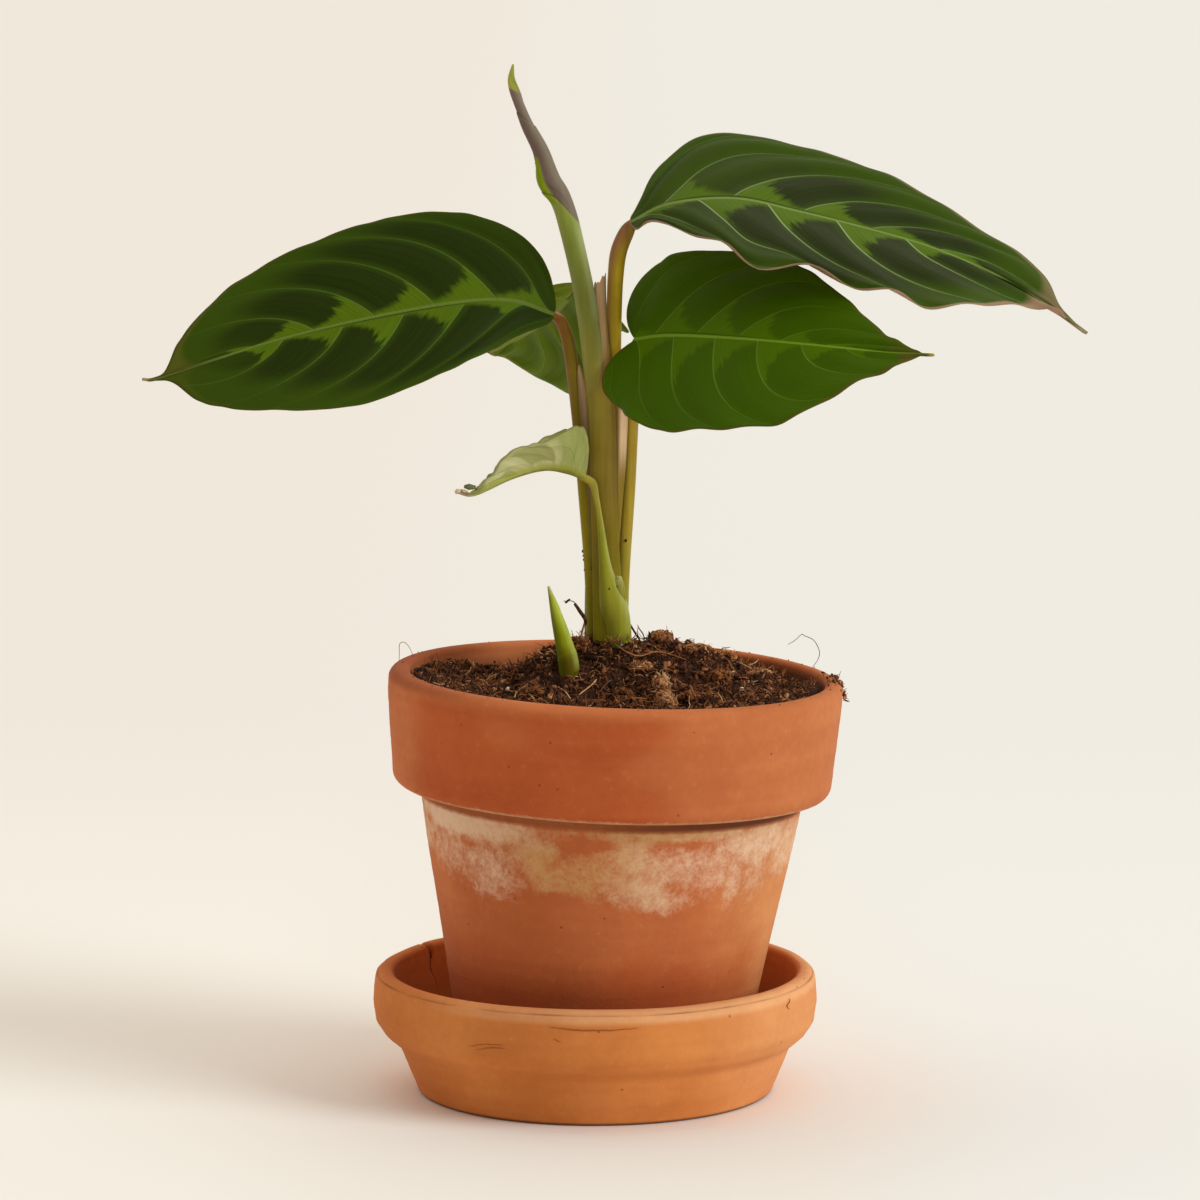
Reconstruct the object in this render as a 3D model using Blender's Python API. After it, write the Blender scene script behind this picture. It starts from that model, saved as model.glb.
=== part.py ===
"""A young calathea in a terracotta pot that stands in its saucer.

Lengths in this script are millimetres and are scaled to metres when a mesh is made.
The origin is the centre of the saucer's flat base, +Z is up and the plant's front faces -Y.
"""
import math

import bmesh
import bpy
from mathutils import Vector

MM = 0.001
FIT_GAP = 0.3
SEGMENTS = 48
SMOOTH_ANGLE = math.radians(40)

# Saucer: outer radii and heights from the base up.
SAUCER_FLOOR = 8.0
SAUCER_BASE_R = 51.8
SAUCER_STEP_R = 57.3
SAUCER_STEP_Z = 14.5
SAUCER_RIM_R = 64.2
SAUCER_RIM_INNER_R = 58.4
SAUCER_HEIGHT = 35.6

# Pot: heights count from its own base, which rests on the saucer's floor.
POT_OFFSET_X = 1.7
POT_Z = SAUCER_FLOOR + FIT_GAP
POT_LEAN = math.radians(2.2)
POT_LEAN_BLEND = 14.0
POT_BASE_R = 40.7
POT_HOLE_R = 6.0
POT_FLOOR = 7.0
POT_NECK_R = 55.4
POT_NECK_H = 79.2
POT_COLLAR_LOW_R = 63.4
POT_RIM_R = 65.4
POT_RIM_INNER_R = 59.3
POT_HEIGHT = 113.2

# Soil: its level at the wall, how much higher it lies at the far left and the far right, and the
# mound around the stems, which spreads by so much to the left, right, front and back.
SOIL_LEVEL = 106.0
SOIL_LEFT_RISE = 6.6
SOIL_RIGHT_RISE = 3.5
SOIL_MOUND = 14.3
SOIL_MOUND_CENTRE = (-2.0, 9.0)
SOIL_MOUND_SPREAD = (22.4, 33.4, 14.0, 20.0)
SOIL_RINGS = 11
STEM_FOOT_Z = 116.0
BUNDLE_HOLE = (3.3, 16.4, 8.4)
SIDE_SHOOT_HOLE = (7.0, 7.9, 4.3)
SPEAR_HOLE = (-7.5, -4.0, 3.4)
SPEAR_FOOT_Z = 112.0

# Blades: thickness, the keel under the midrib, and the grid of each blade.
BLADE_THICKNESS = 0.8
KEEL_DEPTH = 1.2
BLADE_ROWS = 25
BLADE_COLUMNS = 5
EDGE_FLOOR = 0.4
TIP_NARROWING = 0.75
LOBE_PLACE = 0.5

# Each leaf: the midrib from the stalk to the tip, the way its upper face looks at the base and at
# the tip, half widths, how full the base is, how far the lobes reach back, how pointed the tip is
# and how long its narrow end is, the tilt of each half in degrees, its bow, and the waves of each
# edge within and across the blade.
LEAVES = {
    "leaf_left": {
        "rib": [(-11.7, 13.0, 224.1), (-24.2, 10.5, 228.3), (-40.7, 7.0, 228.0), (-65.9, 3.0, 223.8),
                (-90.9, 0.0, 218.0), (-107.7, -2.0, 212.9), (-124.6, -3.0, 207.5), (-129.4, -3.2, 207.2)],
        "up": [(-0.05, -0.86, 0.50), (-0.15, -0.86, 0.42)],
        "width": {"right": 27.5, "left": 25.0}, "fullness": 0.13, "lobe": 0.0, "taper": 0.3, "tip": 6.0,
        "tilt": {"right": (4, 4), "left": (4, 4)}, "bow": {"right": -1.0, "left": -1.0},
        "edge": {"right": [-1.6, 3.3, 2.9, -0.2, -1.5, -4.4, -7.3],
                 "left": [-4.2, -5.2, -2.8, 0.6, 1.2, -1.2, -6.4]},
        "wave": {"right": [0.0, 0.4, -0.4, 0.5, -0.5, 0.4, 0.0],
                 "left": [0.0, -0.8, 0.6, -0.7, 0.6, -0.5, 0.0]},
        "colour": (0.022, 0.060, 0.008)},
    "leaf_upper_right": {
        "rib": [(10.3, 15.0, 250.5), (21.8, 13.5, 255.9), (40.4, 11.5, 257.5), (59.0, 9.5, 253.8),
                (77.7, 7.5, 249.3), (96.2, 5.5, 244.0), (114.9, 3.5, 236.1), (131.5, 2.0, 226.5),
                (140.8, 1.0, 220.0)],
        "up": [(-0.05, -0.62, 0.78), (0.25, -0.60, 0.75)],
        "width": {"right": 28.9, "left": 28.0}, "fullness": 0.25, "lobe": 0.0, "taper": 0.3, "tip": 9.0,
        "tilt": {"right": (14, 14), "left": (0, 0)}, "bow": {"right": -1.0, "left": -2.0},
        "edge": {"right": [-2.2, -9.0, -7.1, -5.1, 0.6, 4.8, 1.1, 3.8, 6.4, 7.2, 1.2, -6.0, -8.0, -4.0, 0.0],
                 "left": [-6.3, 3.9, 1.5, -1.9, -4.9, -4.4, -6.2]},
        "wave": {"right": [0.0, 0.0, 0.8, -0.8, 1.2, -1.4, 1.4, -1.0, 1.2, -1.4, 1.0, -0.6, 0.4, 0.0, 0.0],
                 "left": [0.0, 0.6, -0.6, 0.8, -0.8, 0.5, 0.0]},
        "colour": (0.024, 0.065, 0.008)},
    "leaf_lower_right": {
        "rib": [(11.2, 10.0, 217.1), (21.4, 2.0, 219.1), (40.9, -13.0, 219.8), (60.0, -27.0, 219.6),
                (78.9, -40.0, 219.1), (94.5, -49.0, 219.2)],
        "up": [(-0.10, -0.75, 0.60), (0.15, -0.70, 0.65)],
        "width": {"right": 33.9, "left": 29.6}, "fullness": 0.46, "lobe": 9.9, "taper": 0.3, "tip": 4.0,
        "tilt": {"right": (4, 4), "left": (4, 4)}, "bow": {"right": -2.0, "left": -2.0},
        "edge": {"right": [-4.9, -4.2, 0.2, 4.6, 7.0, -1.6, -4.0],
                 "left": [3.4, 1.9, 1.9, 0.5, -3.5, -6.9, -5.1]},
        "wave": {"right": [0.0, 0.6, -0.5, 0.7, -0.8, 0.5, 0.0],
                 "left": [0.0, 0.5, -0.5, 0.5, -0.5, 0.3, 0.0]},
        "colour": (0.028, 0.085, 0.006)},
    "leaf_back": {
        "rib": [(-4.4, 25.0, 232.0), (-11.5, 48.0, 221.5), (-20.9, 73.0, 212.4), (-32.3, 96.0, 204.2)],
        "up": [(0.58, 0.50, 0.64), (0.58, 0.50, 0.64)],
        "width": {"right": 22.0, "left": 20.0}, "fullness": 0.0, "lobe": 0.0, "taper": 0.3, "tip": 5.0,
        "tilt": {"right": (0, 0), "left": (-40, -45)}, "bow": {"right": 0.0, "left": 0.0},
        "edge": {"right": [10.0, 1.8, 5.2, -1.2, 8.0, 0.8, 2.4],
                 "left": [-0.9, -5.7, 0.5, 0.0, 0.0, 0.0, 0.0]},
        "wave": {"right": [0.0, 0.4, -0.5, 0.5, -0.4, 0.3, 0.0],
                 "left": [0.0, 0.4, -0.4, 0.4, -0.4, 0.3, 0.0]},
        "colour": (0.060, 0.130, 0.012)},
    "young_leaf": {
        "rib": [(-3.0, 7.5, 178.0), (-7.8, 6.0, 179.8), (-14.7, 4.0, 180.8), (-23.9, 2.0, 178.4),
                (-34.5, 0.5, 173.6), (-39.5, 0.0, 174.2)],
        "up": [(0.0, 0.0, 1.0), (0.0, 0.0, 1.0)],
        "width": {"right": 10.0, "left": 11.8}, "fullness": 0.84, "lobe": -0.7, "taper": 0.3, "tip": 4.0,
        "tilt": {"right": (60, 64), "left": (66, 66)}, "bow": {"right": 0.0, "left": 0.0},
        "edge": {"right": [-1.0, 2.0, -1.0, 0.0, -0.5, -0.5, 0.0],
                 "left": [-1.2, 2.7, -1.6, -0.1, -0.5, -0.5, -0.2]},
        "wave": {"right": [0.0, 0.3, -0.3, 0.3, 0.0, 0.0, 0.0],
                 "left": [0.0, 0.3, -0.3, 0.3, 0.0, 0.0, 0.0]},
        "colour": (0.300, 0.400, 0.130)},
}
STALK_BEND = 2.2
SMALL_LEAF_ROWS = 18
SMALL_LEAVES = ("young_leaf", "leaf_back")

# Stalks that end at a blade: points from the foot up, and the radius at each point.
# The last two points are worked out from the blade: approach says how far the stalk comes in along
# the midrib, how far from below it, and how many millimetres it stops short of the blade's base.
STALKS = {
    "leaf_left_petiole": {
        "leaf": "leaf_left",
        "approach": (0.7, 0.7, 1.6),
        "points": [(-0.5, 15.0, STEM_FOOT_Z), (-0.5, 15.0, 134.0), (-1.1, 15.0, 150.0), (-2.9, 15.0, 173.0),
                   (-4.3, 15.0, 190.0), (-5.9, 15.0, 204.0), (-7.3, 15.1, 213.6), (-8.3, 15.5, 218.0)],
        "radii": [2.2, 2.2, 2.1, 2.1, 2.1, 2.0, 1.9, 1.8, 1.7, 1.3],
        "colour": (0.190, 0.130, 0.022)},
    "leaf_upper_right_petiole": {
        "leaf": "leaf_upper_right",
        "approach": (0.7, 0.7, 1.6),
        "points": [(3.4, 18.4, STEM_FOOT_Z), (3.4, 18.4, 134.0), (3.8, 18.1, 150.0), (4.9, 17.2, 173.0),
                   (5.2, 16.4, 190.0), (5.3, 16.2, 210.0), (5.5, 16.2, 225.0), (5.9, 16.1, 235.0),
                   (6.8, 15.9, 242.0)],
        "radii": [2.1, 2.1, 2.2, 2.2, 2.2, 2.2, 2.2, 2.3, 2.4, 2.2, 1.4],
        "colour": (0.240, 0.170, 0.025)},
    "leaf_lower_right_petiole": {
        "leaf": "leaf_lower_right",
        "approach": (0.0, 1.0, 2.2),
        "points": [(7.4, 15.6, STEM_FOOT_Z), (7.4, 15.6, 134.0), (7.9, 15.3, 150.0), (9.3, 14.9, 173.0),
                   (10.1, 14.6, 190.0), (10.7, 14.8, 202.0), (11.1, 14.6, 209.0)],
        "radii": [2.2, 2.2, 2.2, 2.3, 2.3, 2.3, 2.1, 1.9, 1.5],
        "colour": (0.260, 0.190, 0.035)},
    "leaf_back_petiole": {
        "leaf": "leaf_back",
        "approach": (0.7, 0.7, 1.6),
        "points": [(-1.1, 20.4, STEM_FOOT_Z), (-1.1, 20.4, 134.0), (-0.8, 20.5, 150.0), (0.0, 20.6, 173.0),
                   (0.5, 21.0, 190.0), (0.0, 21.4, 207.0), (-2.0, 22.0, 221.0)],
        "radii": [2.0, 2.0, 2.0, 2.0, 1.9, 1.9, 1.8, 1.6, 1.2],
        "colour": (0.190, 0.150, 0.030)},
    "side_shoot": {
        "leaf": "young_leaf",
        "approach": (1.0, 0.4, 0.9),
        "flat": 0.70,
        "points": [(7.2, 7.9, STEM_FOOT_Z), (7.0, 7.9, 132.0), (5.2, 7.5, 141.0), (3.0, 7.7, 151.0),
                   (1.4, 8.0, 165.0), (0.3, 7.9, 171.5)],
        "radii": [3.4, 3.5, 3.9, 1.9, 0.9, 0.9, 1.2, 1.1],
        "colour": (0.200, 0.240, 0.035)},
}

# The new leaf, still rolled: its stalk and scroll are one piece from the foot to the hooked tip.
ROLLED_POINTS = [(3.4, 12.3, STEM_FOOT_Z), (3.4, 12.3, 134.0), (2.9, 12.5, 150.0), (1.7, 12.9, 173.0),
                 (0.9, 13.2, 190.0), (-0.6, 13.5, 210.0), (-2.3, 13.8, 225.0), (-4.7, 13.8, 238.0),
                 (-9.2, 13.8, 256.0), (-12.7, 13.8, 263.0), (-15.4, 13.8, 271.0), (-19.0, 13.8, 278.0),
                 (-21.1, 13.8, 283.0), (-23.2, 13.8, 288.6), (-24.0, 13.8, 292.0), (-23.5, 13.8, 296.0)]
ROLLED_RADII = [2.1, 2.1, 2.1, 2.4, 2.6, 3.0, 3.1, 3.0, 3.3, 3.4, 2.9, 2.5, 2.2, 2.1, 1.5, 0.4]
ROLL_START = 7.0
ROLL_STEP = 0.28
ROLL_TURN = 2.6

SPEAR_POINTS = [(-7.3, -4.0, SPEAR_FOOT_Z), (-7.4, -4.0, 123.0), (-8.9, -4.1, 131.0), (-11.0, -4.2, 139.0),
                (-13.4, -4.3, 147.6)]
SPEAR_RADII = [2.7, 2.8, 2.6, 1.8, 0.35]

TERRACOTTA_POT = (0.470, 0.160, 0.070)
TERRACOTTA_SAUCER = (0.560, 0.210, 0.080)
SOIL_COLOUR = (0.060, 0.030, 0.017)
ROLLED_COLOUR = (0.280, 0.300, 0.120)
SPEAR_COLOUR = (0.180, 0.300, 0.040)


def clear_scene():
    """Remove whatever the file held before."""
    for old in list(bpy.data.objects):
        bpy.data.objects.remove(old, do_unlink=True)


def material(name, colour, roughness):
    """A plain Principled material."""
    made = bpy.data.materials.new(name)
    made.use_nodes = True
    shader = made.node_tree.nodes["Principled BSDF"]
    shader.inputs["Base Color"].default_value = (*colour, 1.0)
    shader.inputs["Roughness"].default_value = roughness
    shader.inputs["Metallic"].default_value = 0.0
    return made


def show_mesh(mesh, colour, roughness):
    """An object with its own material from a mesh, shaded smooth but for its sharp edges."""
    mesh.shade_smooth()
    mesh.set_sharp_from_angle(angle=SMOOTH_ANGLE)
    mesh.materials.append(material(mesh.name + "_finish", colour, roughness))
    made = bpy.data.objects.new(mesh.name, mesh)
    bpy.context.scene.collection.objects.link(made)
    return made


def mesh_object(name, points, faces, colour, roughness):
    """An object from points in millimetres."""
    mesh = bpy.data.meshes.new(name)
    mesh.from_pydata([Vector(p) * MM for p in points], [], faces)
    mesh.validate()
    return show_mesh(mesh, colour, roughness)


def smooth_at(values, place):
    """Value or point at a place from 0 to 1 on a smooth curve through evenly spaced values."""
    last = len(values) - 1
    step = min(max(place, 0.0), 1.0) * last
    index = min(int(step), last - 1)
    part = step - index
    here, after = values[index], values[index + 1]
    before = values[index - 1] if index > 0 else here * 2 - after
    beyond = values[index + 2] if index + 2 <= last else after * 2 - here
    return (here * 2 + (after - before) * part
            + (before * 2 - here * 5 + after * 4 - beyond) * part ** 2
            + (here * 3 - before - after * 3 + beyond) * part ** 3) * 0.5


def smooth_step(value, low, high):
    """0 at low, 1 at high, and smooth between."""
    part = min(max((value - low) / (high - low), 0.0), 1.0)
    return part * part * (3.0 - 2.0 * part)


class Path:
    """A smooth curve through hand-chosen points, read by distance along it."""

    SAMPLES = 96

    def __init__(self, points):
        vectors = [Vector(p) for p in points]
        self.points = [smooth_at(vectors, i / self.SAMPLES) for i in range(self.SAMPLES + 1)]
        self.reach = [0.0]
        for first, second in zip(self.points, self.points[1:]):
            self.reach.append(self.reach[-1] + (second - first).length)
        self.length = self.reach[-1]

    def point(self, distance):
        """Point at a distance; beyond either end the curve goes on straight."""
        if distance < 0.0:
            return self.points[0] + self.direction(0.0) * distance
        if distance > self.length:
            return self.points[-1] + self.direction(self.length) * (distance - self.length)
        low, high = 0, self.SAMPLES
        while high - low > 1:
            middle = (low + high) // 2
            if self.reach[middle] <= distance:
                low = middle
            else:
                high = middle
        span = self.reach[high] - self.reach[low]
        return self.points[low].lerp(self.points[high], (distance - self.reach[low]) / span)

    def direction(self, distance):
        """Unit direction at a distance."""
        centre = min(max(distance, 1.0), self.length - 1.0)
        return (self.point(centre + 1.0) - self.point(centre - 1.0)).normalized()


def arc(centre_r, centre_z, radius, start, end, steps):
    """Points of a round stretch of a profile; angles in degrees, 0 is outward and 90 is up."""
    points = []
    for i in range(steps + 1):
        angle = math.radians(start + (end - start) * i / steps)
        points.append((centre_r + radius * math.cos(angle), centre_z + radius * math.sin(angle)))
    return points


def revolve(name, profile, colour, place, ring=False):
    """Turn a profile of (radius, height) about Z; place moves a point to where it stands."""
    turned = bmesh.new()
    verts = [turned.verts.new((radius, 0.0, height)) for radius, height in profile]
    edges = [turned.edges.new(pair) for pair in zip(verts, verts[1:])]
    if ring:
        edges.append(turned.edges.new((verts[-1], verts[0])))
    bmesh.ops.spin(turned, geom=verts + edges, axis=(0.0, 0.0, 1.0), cent=(0.0, 0.0, 0.0),
                   angle=2.0 * math.pi, steps=SEGMENTS)
    bmesh.ops.remove_doubles(turned, verts=turned.verts[:], dist=0.01)
    bmesh.ops.recalc_face_normals(turned, faces=turned.faces[:])
    for vert in turned.verts:
        vert.co = Vector(place(*vert.co)) * MM
    mesh = bpy.data.meshes.new(name)
    turned.to_mesh(mesh)
    turned.free()
    return show_mesh(mesh, colour, 0.8)


def make_saucer():
    """The saucer: a foot, a step and a thick rounded rim around a flat floor."""
    profile = [(0.0, 0.0)]
    profile += arc(SAUCER_BASE_R - 1.6, 1.6, 1.6, -90, -12, 3)
    profile += [(SAUCER_STEP_R, SAUCER_STEP_Z), (SAUCER_RIM_R - 2.8, SAUCER_STEP_Z + 3.2)]
    profile += [(SAUCER_RIM_R - 0.6, SAUCER_STEP_Z + 6.5), (SAUCER_RIM_R, SAUCER_STEP_Z + 11.5)]
    profile += arc(SAUCER_RIM_R - 3.0, SAUCER_HEIGHT - 2.6, 2.6, 10, 90, 3)
    profile += arc(SAUCER_RIM_INNER_R + 1.8, SAUCER_HEIGHT - 1.8, 1.8, 90, 180, 3)
    profile += [(SAUCER_RIM_INNER_R - 2.4, 21.0), (SAUCER_RIM_INNER_R - 5.6, SAUCER_FLOOR + 3.0)]
    profile += [(SAUCER_RIM_INNER_R - 8.6, SAUCER_FLOOR), (0.0, SAUCER_FLOOR)]
    return revolve("saucer", profile, TERRACOTTA_SAUCER, lambda x, y, z: (x, y, z))


def lean(x, y, height):
    """Where a point of the pot stands: the walls lean a little to +X over a flat base."""
    blend = min(max(height / POT_LEAN_BLEND, 0.0), 1.0)
    return (POT_OFFSET_X + x + height * math.tan(POT_LEAN) * blend,
            y,
            POT_Z + height - x * math.sin(POT_LEAN) * blend)


def pot_inner_radius(height):
    """Radius of the pot's inside at a height."""
    if height > POT_NECK_H - 2.0:
        rise = (height - POT_NECK_H + 2.0) / (POT_HEIGHT - POT_NECK_H)
        return POT_RIM_INNER_R - 1.6 + 1.4 * min(rise, 1.0)
    wall_low, wall_high = POT_BASE_R - 6.0, POT_NECK_R - 6.0
    return wall_low + (wall_high - wall_low) * height / (POT_NECK_H - 2.0)


def make_pot():
    """The pot: a tapered wall, a deep collar with a rounded lip, and a drain hole."""
    collar_low = POT_NECK_H + 1.2
    profile = [(POT_HOLE_R, 0.0)]
    profile += arc(POT_BASE_R - 1.5, 1.5, 1.5, -90, -10, 2)
    profile += [(POT_NECK_R - 7.3, POT_NECK_H / 2), (POT_NECK_R, POT_NECK_H)]
    profile += [(POT_NECK_R + 3.8, collar_low), (POT_COLLAR_LOW_R - 1.2, collar_low + 2.0)]
    profile += [(POT_COLLAR_LOW_R, collar_low + 5.0), (POT_RIM_R, POT_HEIGHT - 6.0)]
    profile += arc(POT_RIM_R - 2.8, POT_HEIGHT - 2.8, 2.8, 20, 90, 3)
    profile += arc(POT_RIM_INNER_R + 1.6, POT_HEIGHT - 1.6, 1.6, 90, 180, 2)
    profile += [(pot_inner_radius(POT_NECK_H + 1.0), POT_NECK_H + 1.0)]
    profile += [(pot_inner_radius(POT_NECK_H - 3.0), POT_NECK_H - 3.0)]
    profile += [(pot_inner_radius(POT_FLOOR), POT_FLOOR), (POT_HOLE_R, POT_FLOOR)]
    return revolve("pot", profile, TERRACOTTA_POT, lean, ring=True)


def soil_height(x, y):
    """Height of the soil's top above the pot's base: uneven, and heaped around the stems."""
    level = (SOIL_LEVEL + SOIL_LEFT_RISE * smooth_step(-x, 26.5, 57.0)
             + SOIL_RIGHT_RISE * smooth_step(x, 5.0, 42.0))
    across, back = x - SOIL_MOUND_CENTRE[0], y - SOIL_MOUND_CENTRE[1]
    left, right, front, rear = SOIL_MOUND_SPREAD
    across /= left if across < 0.0 else right
    back /= front if back < 0.0 else rear
    heap = SOIL_MOUND * math.exp(-0.5 * across ** 4 - 0.5 * back ** 2)
    lumps = (0.7 * math.sin(0.31 * x + 0.4) * math.sin(0.27 * y + 1.1)
             + 0.5 * math.sin(0.62 * x - 0.45 * y) + 0.3 * math.sin(0.8 * y + 0.5 * x + 2.0))
    return level + heap + lumps


def cutter(name, hole, low, high):
    """A plain upright cylinder that cuts a stem's hole."""
    x, y, radius = hole
    bpy.ops.mesh.primitive_cylinder_add(vertices=28, radius=radius * MM, depth=(high - low) * MM,
                                        location=(x * MM, y * MM, (low + high) / 2 * MM))
    made = bpy.context.object
    made.name = name
    made.display_type = "WIRE"
    made.hide_render = True
    return made


def make_soil():
    """The soil: it fills the pot, heaps up at the stems and has plain holes where they stand."""
    top = POT_HEIGHT - 10.0
    profile = [(0.0, POT_FLOOR + FIT_GAP + 0.1)]
    for height in (POT_FLOOR, POT_NECK_H - 3.0, POT_NECK_H + 1.0, top):
        profile.append((pot_inner_radius(height) - FIT_GAP, height + FIT_GAP + 0.1))
    rim = profile[-1][0]
    for i in range(SOIL_RINGS):
        profile.append((rim * (1.0 - i / SOIL_RINGS) - 0.1, POT_HEIGHT))
    profile.append((0.0, POT_HEIGHT))

    def place(x, y, height):
        if height > top + 1.0:
            tilt = x * math.sin(POT_LEAN)
            height = max(soil_height(x, y) + tilt, top + 0.8)
        return lean(x, y, height)

    soil = revolve("soil", profile, SOIL_COLOUR, place)
    holes = ((BUNDLE_HOLE, STEM_FOOT_Z), (SIDE_SHOOT_HOLE, STEM_FOOT_Z), (SPEAR_HOLE, SPEAR_FOOT_Z))
    for number, (hole, foot) in enumerate(holes, start=1):
        cut = soil.modifiers.new("stem_hole_%d" % number, "BOOLEAN")
        cut.operation = "DIFFERENCE"
        cut.solver = "EXACT"
        cut.object = cutter("stem_hole_cutter_%d" % number, hole, foot - FIT_GAP, foot + 40.0)
    return soil


def ring_frames(centres):
    """Two directions across a path at each centre, carried along it without twist."""
    side = Vector((1.0, 0.0, 0.0))
    frames = []
    for i in range(len(centres)):
        ahead = centres[min(i + 1, len(centres) - 1)] - centres[max(i - 1, 0)]
        ahead.normalize()
        side = (side - ahead * side.dot(ahead)).normalized()
        frames.append((side.copy(), ahead.cross(side)))
    return frames


def tube(name, points, radii, colour, sides, rings, shape=None, flat=1.0):
    """A solid stalk along a smooth path; shape scales the radius by place and angle."""
    vectors = [Vector(p) for p in points]
    centres = [smooth_at(vectors, i / rings) for i in range(rings + 1)]
    verts = []
    for i, (across, up) in enumerate(ring_frames(centres)):
        radius = smooth_at(radii, i / rings)
        for k in range(sides):
            angle = 2.0 * math.pi * k / sides
            scale = shape(i / rings, angle) if shape else 1.0
            spoke = across * math.cos(angle) + up * math.sin(angle) * flat
            verts.append(centres[i] + spoke * radius * scale)
    faces = [tuple(reversed(range(sides)))]
    for i in range(rings):
        for k in range(sides):
            nxt = (k + 1) % sides
            faces.append((i * sides + k, i * sides + nxt, (i + 1) * sides + nxt, (i + 1) * sides + k))
    faces.append(tuple(rings * sides + k for k in range(sides)))
    return mesh_object(name, verts, faces, colour, 0.45)


def edge_waves(values, place):
    """A smooth run of waves that is nought at the base and at the tip."""
    return smooth_at([0.0, *values, 0.0], place)


def leaf_flat(leaf, length, side, place, outward):
    """Distance along the midrib and across it, for a place on the edge and a part of the way out."""
    turn = math.pi * place
    rib_along = length * place ** 1.5
    edge_along = length * (1.0 - math.cos(turn)) / 2.0
    edge_along -= leaf["lobe"] * (turn / LOBE_PLACE) * math.exp(1.0 - turn / LOBE_PLACE)
    swell = math.sin(min(turn + leaf["fullness"] * math.sin(turn), math.pi))
    edge_across = leaf["width"][side] * swell * (1.0 - leaf["taper"] * place ** 4)
    edge_across += edge_waves(leaf["edge"][side], place)
    to_tip = (length - edge_along) / leaf["tip"]
    edge_across = EDGE_FLOOR + max(edge_across, 0.0) * (1.0 - TIP_NARROWING * smooth_step(to_tip, 2.2, 0.7))
    mid_along = rib_along + 0.15 * (edge_along - rib_along)
    near, middle, far = (1.0 - outward) ** 2, 2.0 * outward * (1.0 - outward), outward ** 2
    along = near * rib_along + middle * mid_along + far * edge_along
    across = (middle * 0.62 + far) * edge_across
    return along, across


def leaf_point(leaf, path, side, place, outward):
    """Point in the middle of the blade, and the direction that the blade faces there."""
    along, across = leaf_flat(leaf, path.length, side, place, outward)
    ahead = path.direction(along)
    part = min(max(along / path.length, 0.0), 1.0)
    up = Vector(leaf["up"][0]).lerp(Vector(leaf["up"][1]), part)
    normal = (up - ahead * up.dot(ahead)).normalized()
    outside = ahead.cross(normal) * (1.0 if side == "right" else -1.0)
    first, last = leaf["tilt"][side]
    tilt = math.radians(first + (last - first) * part)
    rise = (across * math.sin(tilt) + leaf["bow"][side] * (across / leaf["width"][side]) ** 2
            + edge_waves(leaf["wave"][side], place) * outward ** 2)
    point = path.point(along) + outside * across * math.cos(tilt) + normal * rise
    facing = normal if outward == 0.0 else normal * math.cos(tilt) - outside * math.sin(tilt)
    return point, facing


def make_blade(name, leaf):
    """A blade: a waved sheet with a keel under its midrib, split alike on both faces."""
    path = Path(leaf["rib"])
    rows = SMALL_LEAF_ROWS if name in SMALL_LEAVES else BLADE_ROWS
    columns = 2 * BLADE_COLUMNS + 1
    upper, lower = [], []
    for i in range(rows + 1):
        place = i / rows
        for j in range(columns):
            outward = abs(j - BLADE_COLUMNS) / BLADE_COLUMNS
            side = "right" if j >= BLADE_COLUMNS else "left"
            point, facing = leaf_point(leaf, path, side, place, outward)
            keel = KEEL_DEPTH * (1.0 - place) if j == BLADE_COLUMNS else 0.0
            upper.append(point + facing * BLADE_THICKNESS / 2)
            lower.append(point - facing * (BLADE_THICKNESS / 2 + keel))
    count = len(upper)
    faces = []
    for i in range(rows):
        for j in range(columns - 1):
            a, b = i * columns + j, i * columns + j + 1
            c, d = b + columns, a + columns
            for first, second, third in ((a, b, c), (a, c, d)):
                faces.append((first, second, third))
                faces.append((third + count, second + count, first + count))
    rim = [j for j in range(columns)]
    rim += [i * columns + columns - 1 for i in range(1, rows + 1)]
    rim += [rows * columns + j for j in range(columns - 2, -1, -1)]
    rim += [i * columns for i in range(rows - 1, 0, -1)]
    for first, second in zip(rim, rim[1:] + rim[:1]):
        faces.append((second, first, first + count))
        faces.append((second, first + count, second + count))
    return mesh_object(name + "_blade", upper + lower, faces, leaf["colour"], 0.4)


def make_stalk(name, stalk):
    """A stalk that bends into its blade and stops just short of it."""
    leaf = LEAVES[stalk["leaf"]]
    path = Path(leaf["rib"])
    ahead = path.direction(0.0)
    up = Vector(leaf["up"][0])
    normal = (up - ahead * up.dot(ahead)).normalized()
    along, under, short = stalk["approach"]
    inward = (ahead * along + normal * under).normalized()
    points = [Vector(p) for p in stalk["points"]]
    points += [path.point(0.0) - inward * (short + STALK_BEND), path.point(0.0) - inward * short]
    return tube(name, points, stalk["radii"], stalk["colour"], 10, 2 * len(points),
                flat=stalk.get("flat", 1.0))


def roll_shape(place, angle):
    """Outline of the rolled leaf: round at the stalk, a scroll with one lapped edge above it."""
    begin = ROLL_START / (len(ROLLED_POINTS) - 1)
    grown = min(max((place - begin) * 6.0, 0.0), 1.0)
    turned = (angle / (2.0 * math.pi) + ROLL_TURN * (place - begin)) % 1.0
    return 1.0 - ROLL_STEP * grown * turned


def main():
    clear_scene()
    make_saucer()
    make_pot()
    make_soil()
    for name, leaf in LEAVES.items():
        make_blade(name, leaf)
    for name, stalk in STALKS.items():
        make_stalk(name, stalk)
    tube("rolled_leaf", ROLLED_POINTS, ROLLED_RADII, ROLLED_COLOUR, 14, 34, roll_shape)
    tube("spear_shoot", SPEAR_POINTS, SPEAR_RADII, SPEAR_COLOUR, 10, 14)


main()
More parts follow.
